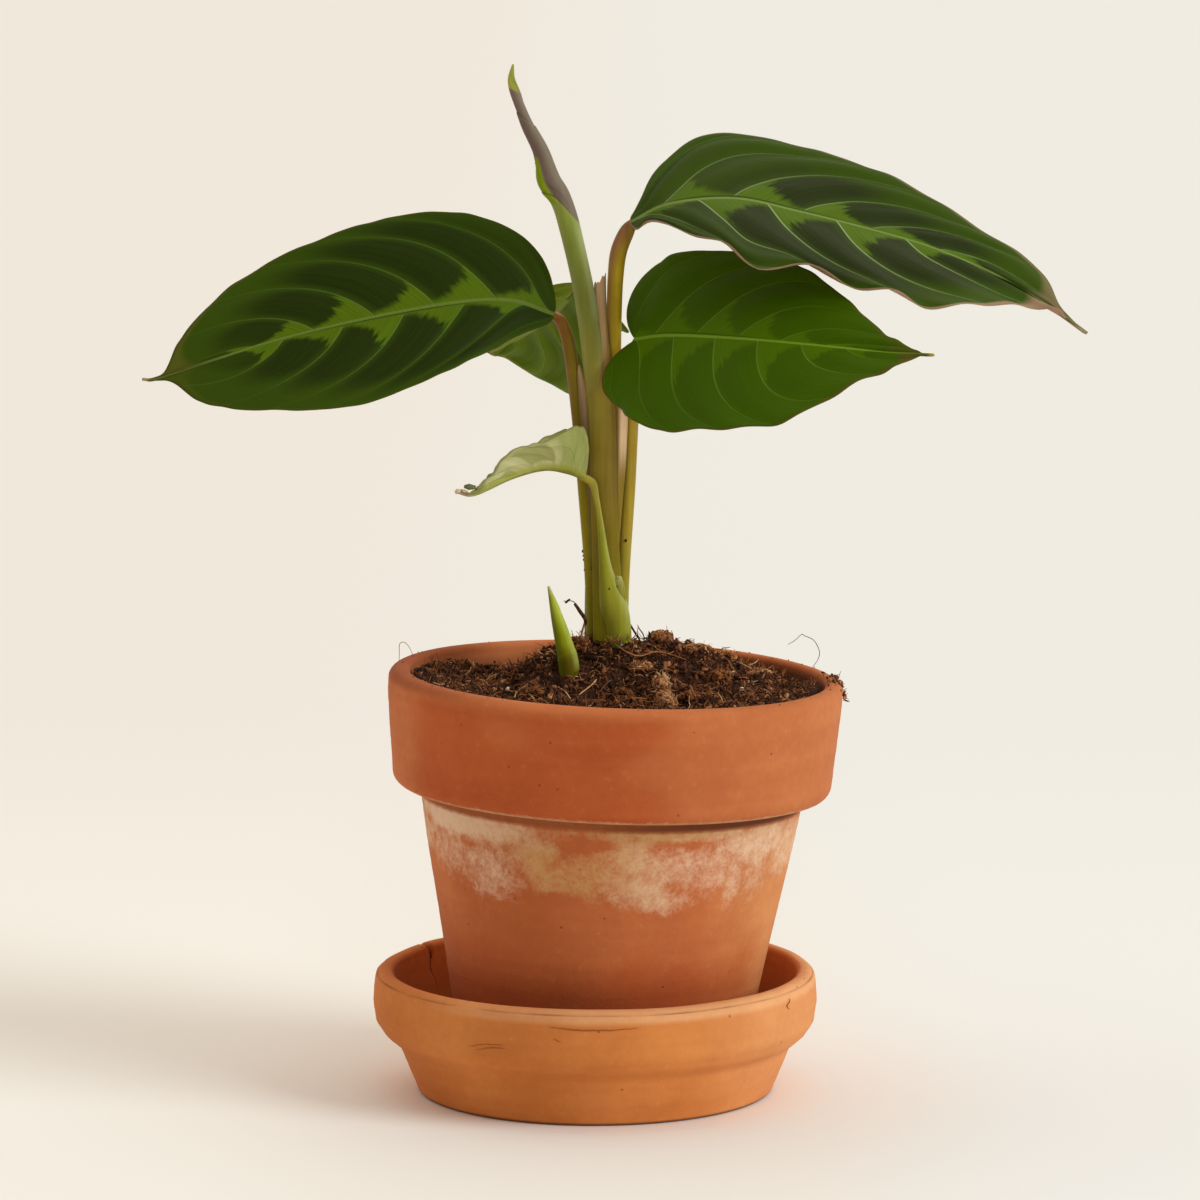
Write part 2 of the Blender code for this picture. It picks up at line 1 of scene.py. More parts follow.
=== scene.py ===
"""Looks of a young calathea in a terracotta pot on its saucer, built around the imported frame.

Lengths in this script are millimetres and are scaled to metres when a mesh is made.
The origin is the centre of the saucer's flat base, +Z is up and the plant's front faces -Y.
"""
import random
from math import cos, degrees, exp, hypot, pi, radians, sin, sqrt, tan

import bpy
from mathutils import Euler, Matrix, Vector, noise


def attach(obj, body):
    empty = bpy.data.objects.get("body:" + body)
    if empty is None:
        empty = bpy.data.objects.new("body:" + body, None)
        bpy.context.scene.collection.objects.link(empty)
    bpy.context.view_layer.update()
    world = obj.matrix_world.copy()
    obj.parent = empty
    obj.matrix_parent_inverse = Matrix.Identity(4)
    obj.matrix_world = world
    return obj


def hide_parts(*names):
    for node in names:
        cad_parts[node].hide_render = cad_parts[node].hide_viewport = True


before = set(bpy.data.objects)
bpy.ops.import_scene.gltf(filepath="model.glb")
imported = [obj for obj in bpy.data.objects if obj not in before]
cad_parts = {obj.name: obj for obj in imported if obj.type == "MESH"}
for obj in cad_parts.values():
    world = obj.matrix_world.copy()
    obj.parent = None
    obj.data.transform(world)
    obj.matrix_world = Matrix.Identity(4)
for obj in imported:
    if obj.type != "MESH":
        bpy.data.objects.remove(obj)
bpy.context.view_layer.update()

MM = 0.001
TURN = 2.0 * pi
FINE = 2

# How finely the pieces are divided at the coarse setting: sides, rings, rows and columns. A blade
# has so many rows, and columns in each half. A profile's longest stretch is for coarse and fine.
SAUCER_SIDES = 180
SAUCER_STRETCH = (2.5, 1.3)
POT_SIDES = 150
POT_STRETCH = (3.0, 1.5)
SOIL_SIDES = 96
SOIL_RINGS = 34
STALK_SIDES = 12
STALK_RINGS = 50
SPEAR_RINGS = 30
ROLLED_SIDES = 24
ROLLED_RINGS = 160
SHEATH_ROWS = 24
SHEATH_COLUMNS = 8
BLADE_GRID = (75, 15)
SMALL_BLADE_GRID = (50, 10)

# Camera: the photograph's viewing angle, distance and lens. Floor: its half width in metres. Light:
# the key's strength, width, colour and the way it comes from, and the surround's colour.
CAMERA_PITCH = radians(8.43)
CAMERA_DISTANCE = 1857.0
CAMERA_TARGET = (1.4, 0, 143)
CAMERA_LENS = 193.7
FLOOR_REACH = 12.0
KEY_STRENGTH = 1.8
KEY_WIDTH = radians(30)
KEY_COLOUR = (0.86, 0.96, 1.0)
KEY_WAY = (1.0, -0.52, 0.55)
SURROUND_COLOUR = [1.0, 0.910, 0.795]

# Saucer: outer radii and heights from the base up, and the crack at its back left with the
# spacing of the extra columns on each side of it.
SAUCER_FLOOR = 8.0
SAUCER_BASE_R = 51.8
SAUCER_STEP_R = 57.3
SAUCER_STEP_Z = 14.5
SAUCER_RIM_R = 64.2
SAUCER_RIM_INNER_R = 58.4
SAUCER_HEIGHT = 35.6
CRACK_ANGLE = radians(147)
CRACK_DEPTH = 2.6
CRACK_SPACING = 0.0022
CRACK_COLUMNS = 9

# Pot: heights count from its own base, which rests on the saucer's floor.
POT_OFFSET_X = 1.7
POT_Z = 8.3
POT_LEAN = radians(2.2)
POT_LEAN_BLEND = 14.0
POT_BASE_R = 40.7
POT_HOLE_R = 6.0
POT_FLOOR = 7.0
POT_NECK_R = 55.4
POT_NECK_H = 79.2
POT_COLLAR_LOW_R = 63.4
POT_RIM_R = 65.4
POT_RIM_INNER_R = 59.3
POT_HEIGHT = 113.2

# Soil: its level at the wall, how far the loose surface lies below it at the back right, how much
# higher it lies at the far left and the far right, and the mound around the stems, which spreads
# by so much to the left, right, front and back.
SOIL_LEVEL = 106.0
SOIL_SUNK = 4.2
SOIL_LEFT_RISE = 6.6
SOIL_RIGHT_RISE = 3.5
SOIL_MOUND = 14.3
SOIL_MOUND_CENTRE = (-2, 9)
SOIL_MOUND_SPREAD = (22.4, 33.4, 14, 20)
STEM_FOOT_Z = 116.0
SPEAR_FOOT_Z = 112.0

# Blades: thickness at the midrib and at the margin, the keel below the midrib and the groove on it,
# the least half width, how narrow the tip is, how each blade narrows, and where lobes and veins lie.
BLADE_THICKNESS = 0.8
MARGIN_THICKNESS = 0.35
KEEL_DEPTH = 1.0
KEEL_WIDTH = 1.1
GROOVE_DEPTH = 0.25
GROOVE_WIDTH = 0.5
EDGE_FLOOR = 0.4
TIP_NARROWING = 0.75
LEAF_TAPER = 0.3
LOBE_PLACE = 0.5
VEIN_SPACING = 0.145
LEAF_SHEEN = (0.86, 1, 0.66)

# The leaves' fine form, left out of the plain solids: how deep the quilting between the veins is,
# how far the right edge curls up between them, and how ragged the edges are.
FINE_FORM = {"leaf_left": (0.34, 0.5, 0.45), "leaf_upper_right": (0.75, 2.3, 0.5),
             "leaf_lower_right": (0.30, 1.3, 0.55), "leaf_back": (0.8, 0, 0.9),
             "young_leaf": (0.25, 0, 1.1)}

# Each leaf: the midrib from the stalk to the tip, the way its upper face looks at the base and at
# the tip, half widths, how full the base is, how far the lobes reach back, how long the narrow tip
# is, the tilt of each half in degrees, its bow, and the waves of each edge within and across the
# blade. What differs between the halves is given as (right, left).
LEAVES = {
    "leaf_left": {
        "rib": [(-11.7, 13, 224.1), (-24.2, 10.5, 228.3), (-40.7, 7, 228), (-65.9, 3, 223.8),
                (-90.9, 0, 218), (-107.7, -2, 212.9), (-124.6, -3, 207.5), (-129.4, -3.2, 207.2)],
        "up": [(-0.05, -0.86, 0.50), (-0.15, -0.86, 0.42)],
        "width": (27.5, 25), "fullness": 0.13, "lobe": 0, "tip": 6,
        "tilt": ((4, 4), (4, 4)), "bow": (-1, -1),
        "edge": ([-1.6, 3.3, 2.9, -0.2, -1.5, -4.4, -7.3],
                 [-4.2, -5.2, -2.8, 0.6, 1.2, -1.2, -6.4]),
        "wave": ([0, 0.4, -0.4, 0.5, -0.5, 0.4, 0],
                 [0, -0.8, 0.6, -0.7, 0.6, -0.5, 0]),
        "slot": "blade_dark"},
    "leaf_upper_right": {
        "rib": [(10.3, 15, 250.5), (21.8, 13.5, 255.9), (40.4, 11.5, 257.5), (59, 9.5, 253.8),
                (77.7, 7.5, 249.3), (96.2, 5.5, 244), (114.9, 3.5, 236.1), (131.5, 2, 226.5),
                (140.8, 1, 220)],
        "up": [(-0.05, -0.62, 0.78), (0.25, -0.60, 0.75)],
        "width": (28.9, 28), "fullness": 0.25, "lobe": 0, "tip": 9,
        "tilt": ((14, 14), (0, 0)), "bow": (-1, -2),
        "edge": ([-2.2, -9, -7.1, -5.1, 0.6, 4.8, 1.1, 3.8, 6.4, 7.2, 1.2, -6, -8, -4, 0],
                 [-6.3, 3.9, 1.5, -1.9, -4.9, -4.4, -6.2]),
        "wave": ([0, 0, 0.8, -0.8, 1.2, -1.4, 1.4, -1, 1.2, -1.4, 1, -0.6, 0.4, 0, 0],
                 [0, 0.6, -0.6, 0.8, -0.8, 0.5, 0]),
        "slot": "blade_dark"},
    "leaf_lower_right": {
        "rib": [(11.2, 10, 217.1), (21.4, 2, 219.1), (40.9, -13, 219.8), (60, -27, 219.6),
                (78.9, -40, 219.1), (94.5, -49, 219.2)],
        "up": [(-0.10, -0.75, 0.60), (0.15, -0.70, 0.65)],
        "width": (33.9, 29.6), "fullness": 0.46, "lobe": 9.9, "tip": 4,
        "tilt": ((4, 4), (4, 4)), "bow": (-2, -2),
        "edge": ([-4.9, -4.2, 0.2, 4.6, 7, -1.6, -4],
                 [3.4, 1.9, 1.9, 0.5, -3.5, -6.9, -5.1]),
        "wave": ([0, 0.6, -0.5, 0.7, -0.8, 0.5, 0],
                 [0, 0.5, -0.5, 0.5, -0.5, 0.3, 0]),
        "slot": "blade_dark"},
    "leaf_back": {
        "rib": [(-4.4, 25, 232), (-11.5, 48, 221.5), (-20.9, 73, 212.4), (-32.3, 96, 204.2)],
        "up": [(0.58, 0.50, 0.64), (0.58, 0.50, 0.64)],
        "width": (22, 20), "fullness": 0, "lobe": 0, "tip": 5,
        "tilt": ((0, 0), (-40, -45)), "bow": (0, 0),
        "edge": ([10, 1.8, 5.2, -1.2, 8, 0.8, 2.4],
                 [-0.9, -5.7, 0.5, 0, 0, 0, 0]),
        "wave": ([0, 0.4, -0.5, 0.5, -0.4, 0.3, 0],
                 [0, 0.4, -0.4, 0.4, -0.4, 0.3, 0]),
        "slot": "blade_plain"},
    "young_leaf": {
        "rib": [(-3, 7.5, 178), (-7.8, 6, 179.8), (-14.7, 4, 180.8), (-23.9, 2, 178.4),
                (-34.5, 0.5, 173.6), (-39.5, 0, 174.2)],
        "up": [(0, 0, 1), (0, 0, 1)],
        "width": (10, 11.8), "fullness": 0.84, "lobe": -0.7, "tip": 4,
        "tilt": ((60, 64), (66, 66)), "bow": (0, 0),
        "edge": ([-1, 2, -1, 0, -0.5, -0.5, 0],
                 [-1.2, 2.7, -1.6, -0.1, -0.5, -0.5, -0.2]),
        "wave": ([0, 0.3, -0.3, 0.3, 0, 0, 0],
                 [0, 0.3, -0.3, 0.3, 0, 0, 0]),
        "slot": "blade_pale"},
}

# Stalks that end at a blade: points from the foot up, the radius at each point and at the two that
# join it to the midrib, and how flat it is. The approach says how much of the last bend runs along
# the midrib, how much comes from under it, and how far before it the bend lies, less STALK_BEND.
STALK_BEND = 2.2
STALKS = {
    "leaf_left_petiole": {
        "leaf": "leaf_left",
        "approach": (0.7, 0.7, 1.6),
        "points": [(-0.5, 15, STEM_FOOT_Z), (-0.5, 15, 134), (-1.1, 15, 150), (-2.9, 15, 173),
                   (-4.3, 15, 190), (-5.9, 15, 204), (-7.3, 15.1, 213.6), (-8.3, 15.5, 218)],
        "radii": [2.2, 2.2, 2.1, 2.1, 2.1, 2, 1.9, 1.8, 1.7, 1.3]},
    "leaf_upper_right_petiole": {
        "leaf": "leaf_upper_right",
        "approach": (0.7, 0.7, 1.6),
        "points": [(3.4, 18.4, STEM_FOOT_Z), (3.4, 18.4, 134), (3.8, 18.1, 150), (4.9, 17.2, 173),
                   (5.2, 16.4, 190), (5.3, 16.2, 210), (5.5, 16.2, 225), (5.9, 16.1, 235),
                   (6.8, 15.9, 242)],
        "radii": [2.1, 2.1, 2.2, 2.2, 2.2, 2.2, 2.2, 2.3, 2.4, 2.2, 1.4]},
    "leaf_lower_right_petiole": {
        "leaf": "leaf_lower_right",
        "approach": (0, 1, 2.2),
        "points": [(7.4, 15.6, STEM_FOOT_Z), (7.4, 15.6, 134), (7.9, 15.3, 150), (9.3, 14.9, 173),
                   (10.1, 14.6, 190), (10.7, 14.8, 202), (11.1, 14.6, 209)],
        "radii": [2.2, 2.2, 2.2, 2.3, 2.3, 2.3, 2.1, 1.9, 1.5]},
    "leaf_back_petiole": {
        "leaf": "leaf_back",
        "approach": (0.7, 0.7, 1.6),
        "points": [(-1.1, 20.4, STEM_FOOT_Z), (-1.1, 20.4, 134), (-0.8, 20.5, 150), (0, 20.6, 173),
                   (0.5, 21, 190), (0, 21.4, 207), (-2, 22, 221)],
        "radii": [2, 2, 2, 2, 1.9, 1.9, 1.8, 1.6, 1.2]},
    "side_shoot": {
        "leaf": "young_leaf",
        "approach": (1, 0.4, 0.9),
        "flat": 0.70,
        "points": [(7.2, 7.9, STEM_FOOT_Z), (7, 7.9, 132), (5.2, 7.5, 141), (3, 7.7, 151),
                   (1.4, 8, 165), (0.3, 7.9, 171.5)],
        "radii": [3.4, 3.5, 3.9, 1.9, 0.9, 0.9, 1.2, 1.1]},
}

# The new leaf, still rolled: its stalk and scroll are one piece from the foot to the hooked tip.
ROLLED_POINTS = [(3.4, 12.3, STEM_FOOT_Z), (3.4, 12.3, 134), (2.9, 12.5, 150), (1.7, 12.9, 173),
                 (0.9, 13.2, 190), (-0.6, 13.5, 210), (-2.3, 13.8, 225), (-4.7, 13.8, 238),
                 (-9.2, 13.8, 256), (-12.7, 13.8, 263), (-15.4, 13.8, 271), (-19, 13.8, 278),
                 (-21.1, 13.8, 283), (-23.2, 13.8, 288.6), (-24, 13.8, 292), (-23.5, 13.8, 296)]
ROLLED_RADII = [2.1, 2.1, 2.1, 2.4, 2.6, 3, 3.1, 3, 3.3, 3.4, 2.9, 2.5, 2.2, 2.1, 1.5, 0.4]
# The point where the scroll starts, how deep its overlap steps in, and how often it would turn over
# the whole length.
ROLL_START = 7.0
ROLL_STEP = 0.28
ROLL_TURN = 2.6

# The short spear in front of the clump: points from the foot up, and the radius at each point.
SPEAR_POINTS = [(-7.3, -4, SPEAR_FOOT_Z), (-7.4, -4, 123), (-8.9, -4.1, 131), (-11, -4.2, 139),
                (-13.4, -4.3, 147.6)]
SPEAR_RADII = [2.7, 2.8, 2.6, 1.8, 0.35]


def srgb(colour):
    """A display colour of 0 to 255 as the linear colour that a shader takes."""
    parts = [level / 255.0 for level in colour]
    return tuple(part / 12.92 if part <= 0.04045 else ((part + 0.055) / 1.055) ** 2.4 for part in parts)


def maths_node(operation):
    """A method that adds one maths node to a value's tree."""
    return lambda value, *others: value.made.maths(operation, value, *others)


class Value:
    """An output of a node; arithmetic on it adds the nodes that it takes."""

    def __init__(self, made, socket):
        self.made, self.socket = made, socket

    __add__ = maths_node("ADD")
    __sub__ = maths_node("SUBTRACT")
    __mul__ = maths_node("MULTIPLY")
    __truediv__ = maths_node("DIVIDE")
    __pow__ = maths_node("POWER")
    __abs__ = maths_node("ABSOLUTE")
    scaled = maths_node("MULTIPLY_ADD")
    least = maths_node("MINIMUM")
    most = maths_node("MAXIMUM")
    fraction = maths_node("FRACT")
    whole = maths_node("FLOOR")
    sine = maths_node("SINE")

    def __rsub__(self, first):
        return self.made.maths("SUBTRACT", first, self)

    def step(self, low, high, start=0.0, end=1.0, kind="SMOOTHSTEP"):
        """From start to end, smoothly, as the value goes from low to high."""
        inputs = {"Value": self, "From Min": low, "From Max": high, "To Min": start, "To Max": end}
        return self.made.add("MapRange", "Result", inputs, interpolation_type=kind)


class Nodes:
    """A node tree that grows by short calls, which return a Value.

    In every call a tuple is a display colour of 0 to 255 and a list is plain factors.
    """

    def __init__(self, tree):
        self.nodes, self.links = tree.nodes, tree.links

    def feed(self, socket, value):
        """Link a value to a socket, or set a number, a colour or factors."""
        if isinstance(value, Value):
            self.links.new(value.socket, socket)
        elif isinstance(value, tuple):
            socket.default_value = (*srgb(value), 1.0)
        elif isinstance(value, list):
            socket.default_value = (*value, 1.0)
        else:
            socket.default_value = value

    def add(self, kind, output, inputs, **settings):
        """Add a node with its settings and inputs, and return one of its outputs."""
        node = self.nodes.new("ShaderNode" + kind)
        for name, setting in settings.items():
            setattr(node, name, setting)
        for key, entry in inputs.items():
            self.feed(node.inputs[key], entry)
        return Value(self, node.outputs[output])

    def given(self, *names):
        """Numbers kept on the mesh's points."""
        return [self.add("Attribute", "Fac", {}, attribute_name=name) for name in names]

    def place(self, kind="Object"):
        """Position on the object, in metres."""
        return self.add("TexCoord", kind, {})

    def coordinate(self, vector, axis):
        """One coordinate of a vector, in metres."""
        return self.add("SeparateXYZ", axis, {0: vector})

    def maths(self, operation, *values):
        return self.add("Math", 0, dict(enumerate(values)), operation=operation)

    def mix(self, part, first, second, blend="MIX"):
        return self.add("Mix", 2, {0: part, 6: first, 7: second}, data_type="RGBA", blend_type=blend)

    def ramp(self, value, *stops):
        """A colour that changes smoothly along a value; each stop is (position, colour)."""
        colour = self.add("ValToRGB", 0, {0: value})
        scale = colour.socket.node.color_ramp
        scale.interpolation = "EASE"
        while len(scale.elements) < len(stops):
            scale.elements.new(0.5)
        for element, (position, shade) in zip(scale.elements, stops):
            element.position = position
            element.color = (*srgb(shade), 1.0)
        return colour

    def noise(self, where, scale, detail=3.0, roughness=0.5):
        """Cloudy noise at a place, which is a value or three coordinates."""
        if isinstance(where, tuple):
            where = self.add("CombineXYZ", 0, dict(enumerate(where)))
        return self.add("TexNoise", "Fac", {"Vector": where, "Scale": scale, "Detail": detail,
                                            "Roughness": roughness})

    def grain(self, where, across, along, detail):
        """Noise drawn out along the vertical axis or across it: how fine it is across and along."""
        stretch = Vector((across, across, along))
        where = self.add("VectorMath", 0, {0: where, 1: stretch}, operation="MULTIPLY")
        return self.noise(where, 1.0, detail)

    def cells(self, where, scale):
        """Distance to the nearest of many scattered points, and a random colour of each."""
        distance = self.add("TexVoronoi", "Distance", {"Vector": where, "Scale": scale})
        return distance, Value(self, distance.socket.node.outputs["Color"])


class Finish(Nodes):
    """A Principled material: its colour is laid on coat by coat."""

    def __init__(self, name, roughness, specular, tint=(1.0, 1.0, 1.0)):
        self.material = bpy.data.materials.new(name)
        self.material.use_nodes = True
        super().__init__(self.material.node_tree)
        self.shader = self.nodes["Principled BSDF"]
        self.shader.inputs["Roughness"].default_value = roughness
        self.shader.inputs["Specular IOR Level"].default_value = specular
        self.shader.inputs["Specular Tint"].default_value = (*tint, 1.0)
        self.colour = None

    def coat(self, part, over):
        """Lay a colour over the present one as far as a part of 0 to 1; factors multiply it."""
        if isinstance(over, list):
            over = self.mix(1.0, self.colour, over, "MULTIPLY")
        self.colour = self.mix(part, self.colour, over)

    def done(self, relief=None, strength=0.0, distance=0.0):
        """The material, with its colour and with relief as bump."""
        self.feed(self.shader.inputs["Base Color"], self.colour)
        if relief is not None:
            bump = self.add("Bump", "Normal", {"Strength": strength, "Distance": distance, "Height": relief})
            self.feed(self.shader.inputs["Normal"], bump)
        return self.material


def smooth_at(values, place):
    """Value or point at a place from 0 to 1 on a smooth curve through evenly spaced values."""
    last = len(values) - 1
    step = min(max(place, 0.0), 1.0) * last
    index = min(int(step), last - 1)
    part = step - index
    here, after = values[index], values[index + 1]
    before = values[index - 1] if index > 0 else here * 2 - after
    beyond = values[index + 2] if index + 2 <= last else after * 2 - here
    return (here * 2 + (after - before) * part
            + (before * 2 - here * 5 + after * 4 - beyond) * part ** 2
            + (here * 3 - before - after * 3 + beyond) * part ** 3) * 0.5


def ease(value, low, high):
    """0 at low, 1 at high, and smooth between."""
    part = min(max((value - low) / (high - low), 0.0), 1.0)
    return part * part * (3.0 - 2.0 * part)


def cloud(scale, *place):
    """Smooth noise at a place, from about -1 to 1; its features are about 1 / scale wide."""
    return noise.noise(Vector(place) * scale)


def along_path(places, steps):
    """Points spread evenly along a smooth path."""
    return [smooth_at(places, i / steps) for i in range(steps + 1)]


def draws(dice, low, high):
    """Three random numbers between two bounds."""
    return [dice.uniform(low, high) for _ in range(3)]


class Path:
    """A smooth curve through given points, read by distance along it."""

    SAMPLES = 96

    def __init__(self, points):
        vectors = [Vector(p) for p in points]
        self.points = [smooth_at(vectors, i / self.SAMPLES) for i in range(self.SAMPLES + 1)]
        self.reach = [0.0]
        for first, second in zip(self.points, self.points[1:]):
            self.reach.append(self.reach[-1] + (second - first).length)
        self.length = self.reach[-1]

    def point(self, distance):
        """Point at a distance; beyond either end the curve goes on straight."""
        if distance < 0.0:
            return self.points[0] + self.direction(0.0) * distance
        if distance > self.length:
            return self.points[-1] + self.direction(self.length) * (distance - self.length)
        low, high = 0, self.SAMPLES
        while high - low > 1:
            middle = (low + high) // 2
            if self.reach[middle] <= distance:
                low = middle
            else:
                high = middle
        span = self.reach[high] - self.reach[low]
        return self.points[low].lerp(self.points[high], (distance - self.reach[low]) / span)

    def direction(self, distance):
        """Unit direction at a distance."""
        centre = min(max(distance, 1.0), self.length - 1.0)
        return (self.point(centre + 1.0) - self.point(centre - 1.0)).normalized()


def piece(name, points, faces, material, replaces, slot, values):
    """A shown piece of the object, from points in millimetres and numbers kept on the points."""
    mesh = bpy.data.meshes.new(name)
    mesh.from_pydata([Vector(p) * MM for p in points], [], faces)
    mesh.shade_smooth()
    for key, numbers in values.items():
        mesh.attributes.new(key, "FLOAT", "POINT").data.foreach_set("value", numbers)
    mesh.materials.append(material)
    made = bpy.data.objects.new(name, mesh)
    bpy.context.scene.collection.objects.link(made)
    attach(made, "root")
    if replaces:
        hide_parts(*replaces)


def arc(centre_r, centre_z, radius, start, end, steps):
    """Points of a round stretch of a profile; angles in degrees, 0 is outward and 90 is up."""
    points = []
    for i in range(steps + 1):
        angle = radians(start + (end - start) * i / steps)
        points.append((centre_r + radius * cos(angle), centre_z + radius * sin(angle)))
    return points


def split(profile, step):
    """The same profile with no stretch longer than a step."""
    fine = [profile[0]]
    for (r0, z0), (r1, z1) in zip(profile, profile[1:]):
        parts = max(1, round(hypot(r1 - r0, z1 - z0) / step))
        fine += [(r0 + (r1 - r0) * i / parts, z0 + (z1 - z0) * i / parts) for i in range(1, parts + 1)]
    return fine


def turned(profile, angles, place, ring=False):
    """Points and faces of a profile turned about Z; place(radius, angle, height) gives each point."""
    points, faces, starts = [], [], []
    count = len(angles)
    for radius, height in profile:
        starts.append(len(points))
        points += [place(radius, angle, height) for angle in (angles if radius > 0.0 else angles[:1])]
    pairs = list(zip(range(len(profile)), range(1, len(profile))))
    if ring:
        pairs.append((len(profile) - 1, 0))
    for low, high in pairs:
        for i in range(count):
            j = (i + 1) % count
            if profile[low][0] == 0.0:
                faces.append((starts[low], starts[high] + j, starts[high] + i))
            elif profile[high][0] == 0.0:
                faces.append((starts[low] + i, starts[low] + j, starts[high]))
            else:
                faces.append((starts[low] + i, starts[low] + j, starts[high] + j, starts[high] + i))
    return points, faces


def clay(name, light, deep, grime_and_shade, dust_and_sheen_tint):
    """Unglazed terracotta: cloudy colour, turning marks, fine grain, pits, chalky patches, stains and
    soiling, with painted shade, light and sheen laid on through the same marks.
    """
    made = Finish(name, 0.86, 0.25)
    where = made.place()
    damp_and_shade, dust_and_sheen, bloom_and_painted_light, ochre, dirt_and_shade = made.given("damp_and_shade", "dust_and_sheen", "bloom_and_painted_light", "ochre", "grime_and_shade")
    clouds = made.noise(where, 17.0, 4.0, 0.6)
    marks = made.grain(where, 6.0, 260.0, 3.0)
    grain = made.noise(where, 1100.0, 2.0)
    speckle = made.noise(where, 380.0, 3.0, 0.65)
    tone = clouds * 1.1 + marks * 0.22 + speckle * 0.22
    made.colour = made.mix(tone.step(0.50, 1.12), deep, light)
    # Moisture stains, with painted shade where the mark also darkens sides away from the light.
    made.coat(damp_and_shade, [0.84, 0.60, 0.44])
    # A dusting, with painted sheen where the mark pales sides facing the key light.
    made.coat(dust_and_sheen, dust_and_sheen_tint)
    cover = bloom_and_painted_light + (speckle - 0.5) * 1.1 + (grain - 0.5) * 0.6
    made.coat(cover.step(0.12, 1.35) * 0.97, made.mix(ochre, (230, 196, 166), (198, 150, 86)))
    distance, chance = made.cells(where, 150.0)
    pits = distance.step(0.075, 0.025) * chance.step(0.36, 0.38)
    made.coat(pits * 0.6, grime_and_shade)
    # Stains and soiling, with painted shade in the collar's crease, on the pot's inner wall and along the
    # saucer's foot and floor.
    made.coat(dirt_and_shade, grime_and_shade)
    return made.done(grain * 0.5 + marks * 0.8 - pits * 2.2, 0.35, 0.0004)


def even_angles(count):
    return [TURN * i / count for i in range(count)]


# Hairline cracks in the saucer's band: thickness, and places as an angle in degrees and a height.
HAIR_CRACKS = [
    (0.16, [(258.5, 31.2), (265, 30.6), (272.4, 30.5), (281, 31)]),
    (0.10, [(236.2, 23.5), (240.8, 24.8), (245.5, 25.2), (249.4, 26.6)]),
    (0.09, [(238, 22.8), (243, 24), (247, 24.2)]), (0.16, [(259.5, 27.8), (261.5, 27)]),
    (0.14, [(329.7, 33), (330.2, 32), (328.7, 31), (330.2, 29.6)])]


